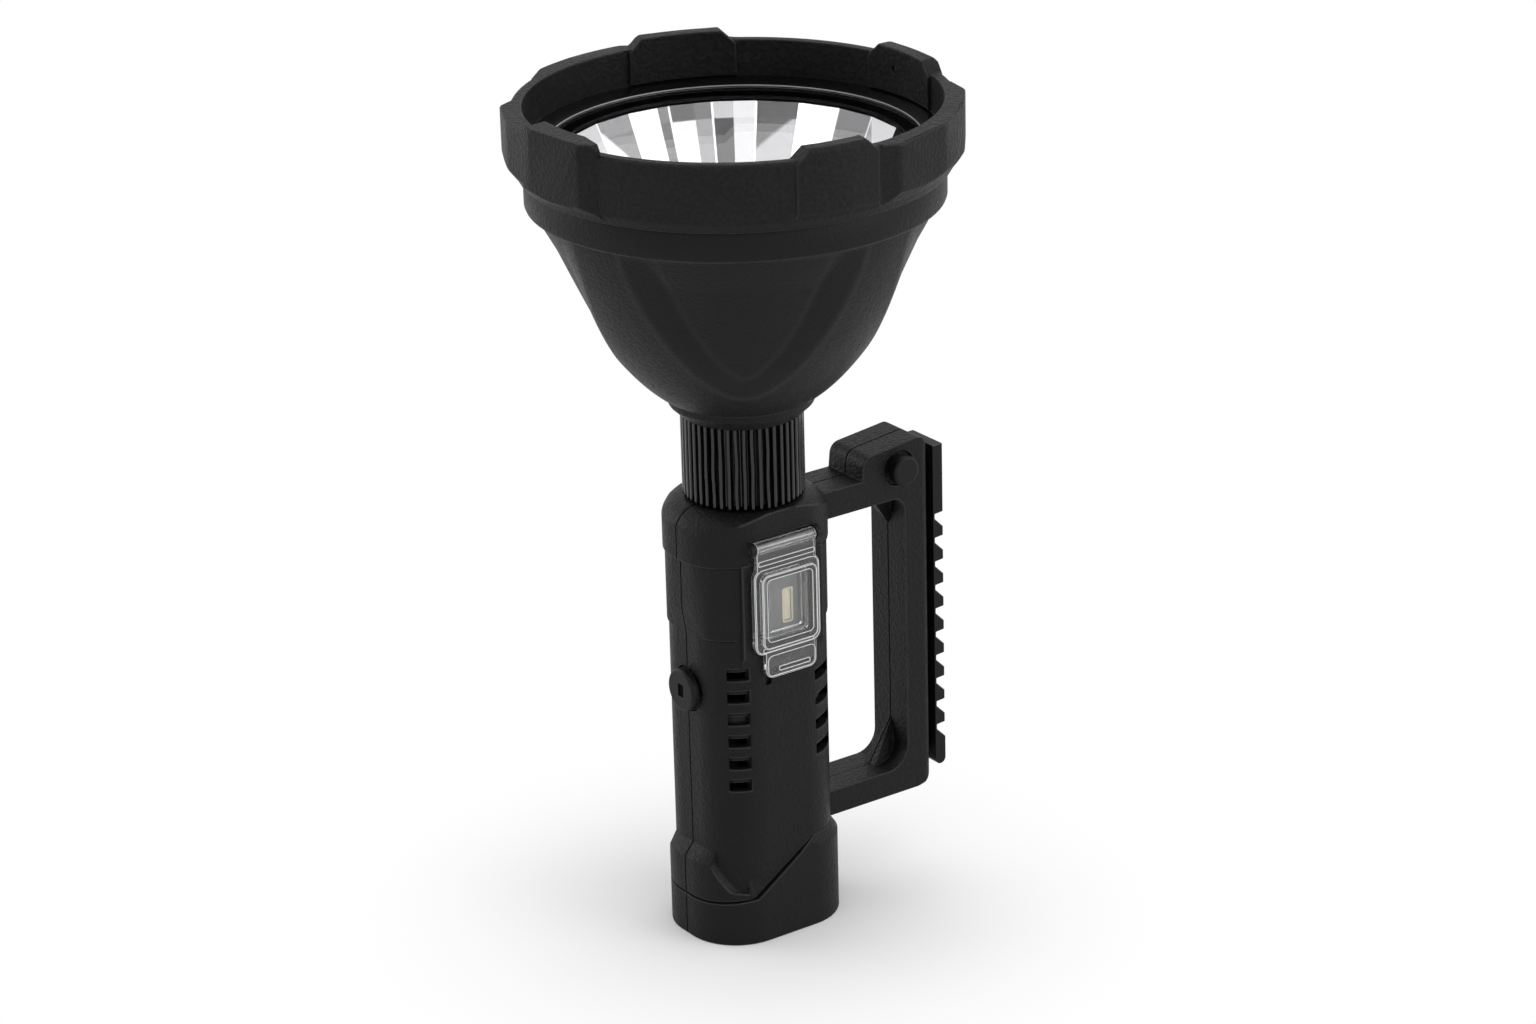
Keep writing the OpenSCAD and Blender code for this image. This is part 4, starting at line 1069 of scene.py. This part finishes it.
@dataclass(frozen=True)
class SocketTongue:
    """The pale block that fills the charging socket, with a fine groove round its face, in millimetres."""

    node: str = "charge_socket"
    x: float = 3.1
    z: float = 104.9
    half_w: float = 1.25
    half_h: float = 4.8
    front_y: float = -15.2
    back_y: float = -13.2
    groove_w: float = 0.35
    groove_h: float = 0.25
    edge_r: float = 0.12
    edge_steps: int = 2
    smooth_angle: float = 35.0

    def build(self, shop: Workshop) -> None:
        """Builds the block.

        Args:
            shop: Where pieces are placed.
        """
        bm = bmesh.new()
        corners = bmesh.ops.create_cube(bm, size=2.0)["verts"]
        for point in corners:
            y = self.front_y if point.co.y < 0.0 else self.back_y
            x, z = self.x + point.co.x * self.half_w, self.z + point.co.z * self.half_h
            point.co = Vector((x, y, z)) * MM
        face = min(bm.faces, key=lambda side: side.calc_center_median().y)
        bmesh.ops.inset_region(bm, faces=[face], thickness=self.groove_w * MM, depth=self.groove_h * MM)
        bevel(bm, list(bm.edges), self.edge_r, self.edge_steps, clamp_overlap=True)
        shop.place(bm, "socket_tongue", self.node, self.smooth_angle)


@dataclass(frozen=True)
class Petal:
    """Painted reflection of one facet of the reflector: two tones, the slanted line between them, its cap's
    tones.
    """

    upper: float
    lower: float
    slant: float
    line: float
    cap_upper: float
    cap_lower: float


@dataclass(frozen=True)
class FacetedReflector:
    """The bright dish of flat petals, in millimetres and degrees."""

    node: str = "reflector"
    low_z: float = 190.2
    high_z: float = 239.1
    throat_r: float = 6.0
    mouth_r: float = 50.6
    petal_turn: float = 47.5
    petal_count: int = 24
    rows: int = 48
    lip_w: float = 1.0
    lip_h: float = 0.7
    lean: float = 0.5
    rim_r: float = 55.9
    wall: float = 1.4
    row_bias: float = 1.6
    back_heights: tuple[float, ...] = (236.0, 226.0, 212.0, 200.0, 193.0)
    back_out: float = 0.6
    back_drop: float = 0.4
    back_z: float = 189.4
    throat_wall: float = 0.9
    smooth_angle: float = 6.0
    # Painted reflections, one per petal, repeated round the dish.
    petals: tuple[Petal, ...] = (
        Petal(0.62, 0.1, 60.0, -30.0, 0.68, 0.5),
        Petal(0.34, 0.76, 60.0, -24.0, 0.2, 0.16),
        Petal(0.2, 0.95, 60.0, -16.0, 0.24, 0.95),
        Petal(0.25, 0.9, 0.3, 0.64, 0.3, 0.9),
        Petal(0.88, 0.45, 0.35, 0.62, 0.88, 0.45),
        Petal(0.3, 0.78, -0.07, 0.86, 0.32, 0.78),
        Petal(0.95, 0.42, -0.17, 0.82, 0.95, 0.42),
        Petal(0.13, 0.45, -0.2, 0.92, 0.12, 0.13),
    )

    def build(self, shop: Workshop) -> None:
        """Builds the dish.

        Args:
            shop: Where pieces are placed.
        """
        lip_z = self.high_z - self.lip_h
        shares = [(i / self.rows) ** self.row_bias for i in range(self.rows + 1)]
        heights = [self.low_z + (lip_z - self.low_z) * share for share in shares]
        face = [(self._radius(z), z) for z in heights] + [(self._radius(lip_z) + self.lip_w, self.high_z)]
        back = [(self.rim_r, self.high_z), (self.rim_r, self.high_z - self.wall)]
        for z in self.back_heights:
            back.append((self._radius(z) + self.wall + self.back_out, z - self.back_drop))
        back.append((self.throat_r - self.throat_wall, self.back_z))
        bm = lathe(face + back, self.petal_count, self.petal_turn)
        self._mark_petals(bm)
        piece = shop.hang(bm, "reflector_petals", self.node, self.smooth_angle)
        self._lean_normals(piece.data)

    def _radius(self, height: float) -> float:
        """Gives the dish's radius at a height."""
        rise = max(0.0, (height - self.low_z) / (self.high_z - self.low_z))
        return self.throat_r + (self.mouth_r - self.throat_r) * math.sqrt(rise)

    def _lean_normals(self, mesh: Mesh) -> None:
        """Leans the shading of the petals towards the mouth, as on a shallow dish.

        Args:
            mesh: The dish's mesh.
        """
        normals = [Vector(corner.vector) for corner in mesh.corner_normals]
        for face in mesh.polygons:
            if face.normal.x * face.center.x + face.normal.y * face.center.y >= 0.0:
                continue
            for corner in face.loop_indices:
                normals[corner] = (normals[corner] + Vector((0.0, 0.0, self.lean))).normalized()
        mesh.normals_split_custom_set(normals)

    def _mark_petals(self, bm: BMesh) -> None:
        """Writes each petal's painted reflection tones, and where a point lies on its petal, as the piece's
        own attributes.

        Args:
            bm: The dish's mesh.
        """
        for name in PETAL_VALUES:
            bm.faces.layers.float.new(name)
        layers = [bm.faces.layers.float[name] for name in PETAL_VALUES]
        spot = bm.loops.layers.uv.new("petal")
        start = math.radians(self.petal_turn)
        pitch = math.tau / self.petal_count
        for face in bm.faces:
            middle = face.calc_center_median()
            first = math.floor((math.atan2(middle.y, middle.x) - start) / pitch)
            petal = self.petals[first % len(self.petals)]
            reflection_tones = (petal.upper, petal.lower, petal.cap_upper, petal.cap_lower)
            # Painted highlight: the lip is painted white all round.
            if middle.z / MM > self.high_z - self.lip_h:
                reflection_tones = (1.0,) * 4
            for layer, value in zip(layers, (*reflection_tones, petal.slant, petal.line)):
                face[layer] = value
            for loop in face.loops:
                place = loop.vert.co
                across = (math.atan2(place.y, place.x) - start) / pitch - first
                across = (across + self.petal_count / 2.0) % self.petal_count - self.petal_count / 2.0
                loop[spot].uv = (across, (place.z / MM - self.low_z) / (self.high_z - self.low_z))


@dataclass(frozen=True)
class Viewpoint:
    """Camera at the photograph's viewing angle, in metres and degrees."""

    azimuth: float = -35.0
    elevation: float = 22.0
    roll: float = 1.5
    focal_mm: float = 105.47
    sensor_mm: float = 36.0
    distance: float = 1.364
    target: Triple = (0.031672, 0.033346, 0.111170)

    def build(self) -> None:
        """Makes the camera and gives it to the scene."""
        turn, rise = math.radians(self.azimuth), math.radians(self.elevation)
        back = Vector((math.sin(turn) * math.cos(rise), -math.cos(turn) * math.cos(rise), math.sin(rise)))
        data = bpy.data.cameras.new("viewpoint")
        data.lens = self.focal_mm
        data.sensor_width = self.sensor_mm
        camera = bpy.data.objects.new("viewpoint", data)
        camera.rotation_mode = "QUATERNION"
        lean = Quaternion((0.0, 0.0, 1.0), -math.radians(self.roll))
        camera.rotation_quaternion = (-back).to_track_quat("-Z", "Y") @ lean
        camera.location = Vector(self.target) + back * self.distance
        bpy.context.scene.collection.objects.link(camera)
        bpy.context.scene.camera = camera


@dataclass(frozen=True)
class SoftSun:
    """One wide, even studio light that comes from a direction."""

    name: str
    source: Triple
    strength: float
    spread: float

    def build(self) -> None:
        """Makes the studio light."""
        data = bpy.data.lights.new(self.name, "SUN")
        data.energy = self.strength
        data.angle = math.radians(self.spread)
        lamp = bpy.data.objects.new(self.name, data)
        lamp.rotation_mode = "QUATERNION"
        lamp.rotation_quaternion = (-Vector(self.source)).to_track_quat("-Z", "Y")
        bpy.context.scene.collection.objects.link(lamp)


@dataclass
class Studio:
    """Plain pale floor, white surroundings and soft light."""

    ambient: float = 0.56
    floor_half: float = 6.0
    floor_fade: Point = (0.02, 0.13)
    floor_tone: float = 0.97
    floor_roughness: float = 0.9
    lamps: tuple[SoftSun, ...] = (
        SoftSun("left_light", (-0.6, 0.78, 0.25), 0.8, 40.0),
        SoftSun("right_light", (0.55, -0.78, 0.22), 1.1, 40.0),
        SoftSun("top_light", (0.1, -0.1, 1.0), 1.0, 90.0),
    )

    def build(self) -> None:
        """Makes the floor, the world and the lamps."""
        self._world()
        self._floor()
        for lamp in self.lamps:
            lamp.build()

    def _world(self) -> None:
        """Makes surroundings that look white and light the lamp softly."""
        world = bpy.data.worlds.new("surroundings")
        world.use_nodes = True
        tree = world.node_tree
        background = tree.nodes["Background"]
        background.inputs["Color"].default_value = (1.0, 1.0, 1.0, 1.0)
        rays = tree.nodes.new("ShaderNodeLightPath")
        seen = rays.outputs["Is Camera Ray"]
        for kind in ("Is Glossy Ray", "Is Transmission Ray"):
            either = tree.nodes.new("ShaderNodeMath")
            either.operation = "MAXIMUM"
            tree.links.new(seen, either.inputs[0])
            tree.links.new(rays.outputs[kind], either.inputs[1])
            seen = either.outputs["Value"]
        strength = tree.nodes.new("ShaderNodeMapRange")
        strength.inputs["To Min"].default_value = self.ambient
        strength.inputs["To Max"].default_value = 1.0
        tree.links.new(seen, strength.inputs["Value"])
        tree.links.new(strength.outputs["Result"], background.inputs["Strength"])
        bpy.context.scene.world = world

    def _floor(self) -> None:
        """Makes the floor that the lamp stands on."""
        bm = bmesh.new()
        bmesh.ops.create_grid(bm, x_segments=1, y_segments=1, size=self.floor_half)
        mesh = bpy.data.meshes.new("floor")
        bm.to_mesh(mesh)
        bm.free()
        graph = Graph("floor_white")
        graph.shader.inputs["Base Color"].default_value = (*(self.floor_tone,) * 3, 1.0)
        graph.shader.inputs["Roughness"].default_value = self.floor_roughness
        graph.shader.inputs["Specular IOR Level"].default_value = 0.0
        self._fade(graph)
        mesh.materials.append(graph.material)
        floor = bpy.data.objects.new("floor", mesh)
        bpy.context.scene.collection.objects.link(floor)

    def _fade(self, graph: Graph) -> None:
        """Lets the floor run out into plain white away from the lamp, where the camera sees it.

        Args:
            graph: The floor's material.
        """
        reach = graph.add("ShaderNodeVectorMath", operation="LENGTH")
        graph.link(graph.place(), reach.inputs[0])
        near, far = self.floor_fade
        fade = graph.add("ShaderNodeMapRange", interpolation_type="SMOOTHSTEP", From_Min=near, From_Max=far)
        graph.link(reach.outputs["Value"], fade.inputs["Value"])
        camera_ray = graph.add("ShaderNodeLightPath").outputs["Is Camera Ray"]
        seen = graph.calculate("MULTIPLY", fade.outputs["Result"], camera_ray)
        white = graph.add("ShaderNodeEmission")
        blend = graph.add("ShaderNodeMixShader")
        graph.link(seen, blend.inputs["Fac"])
        graph.link(graph.shader.outputs["BSDF"], blend.inputs[1])
        graph.link(white.outputs["Emission"], blend.inputs[2])
        output = graph.tree.nodes["Material Output"]
        graph.link(blend.outputs["Shader"], output.inputs["Surface"])


# The seam's rounding is painted near-black, a painted shade.
HALF_SHELL = {"radius": 0.4, "seam_radius": 0.25, "seam_finish": "seam_dark", "flare_z": 25.6}
HALF_FOOT = {**HALF_SHELL, "blunt_angle": 50.0, "smooth_angle": 22.0}
ROUNDED = (
    RoundedCopy("body_front_shell", fade=PanelFade(), **HALF_SHELL),
    RoundedCopy("body_rear_shell", **HALF_SHELL),
    RoundedCopy("foot_bumper_front", **HALF_FOOT),
    RoundedCopy("foot_bumper_rear", **HALF_FOOT),
    RoundedCopy("bezel", 0.5),
    RoundedCopy("neck_collar", 0.4),
    RoundedCopy("lens_ring", 0.25),
    RoundedCopy("lens", 0.3),
    RoundedCopy("grip_rail", 0.3),
    # Painted highlight on the door's rounded edges.
    RoundedCopy("charge_door", 0.15, edge_finish="door_frost"),
    RoundedCopy("side_button", 0.3),
    RoundedCopy("handle_button", 0.3),
    RoundedCopy("socket_panel", 0.15),
    RoundedCopy("charge_socket", 0.12),
)


def main() -> None:
    """Dresses the lamp and its studio."""
    logging.basicConfig(level=logging.INFO)
    bpy.context.scene.view_settings.view_transform = "Standard"
    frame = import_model()
    Viewpoint().build()
    Studio().build()
    shop = Workshop(frame, {finish.name: finish.material() for finish in FINISHES})
    for node in frame["nodes"]:
        shop.paint_node(node)
    for piece in (*ROUNDED, HeadBell(), RibbedNeck(), FacetedReflector(), DoorRidges(), SocketTongue()):
        piece.build(shop)


if __name__ == "__main__":
    main()
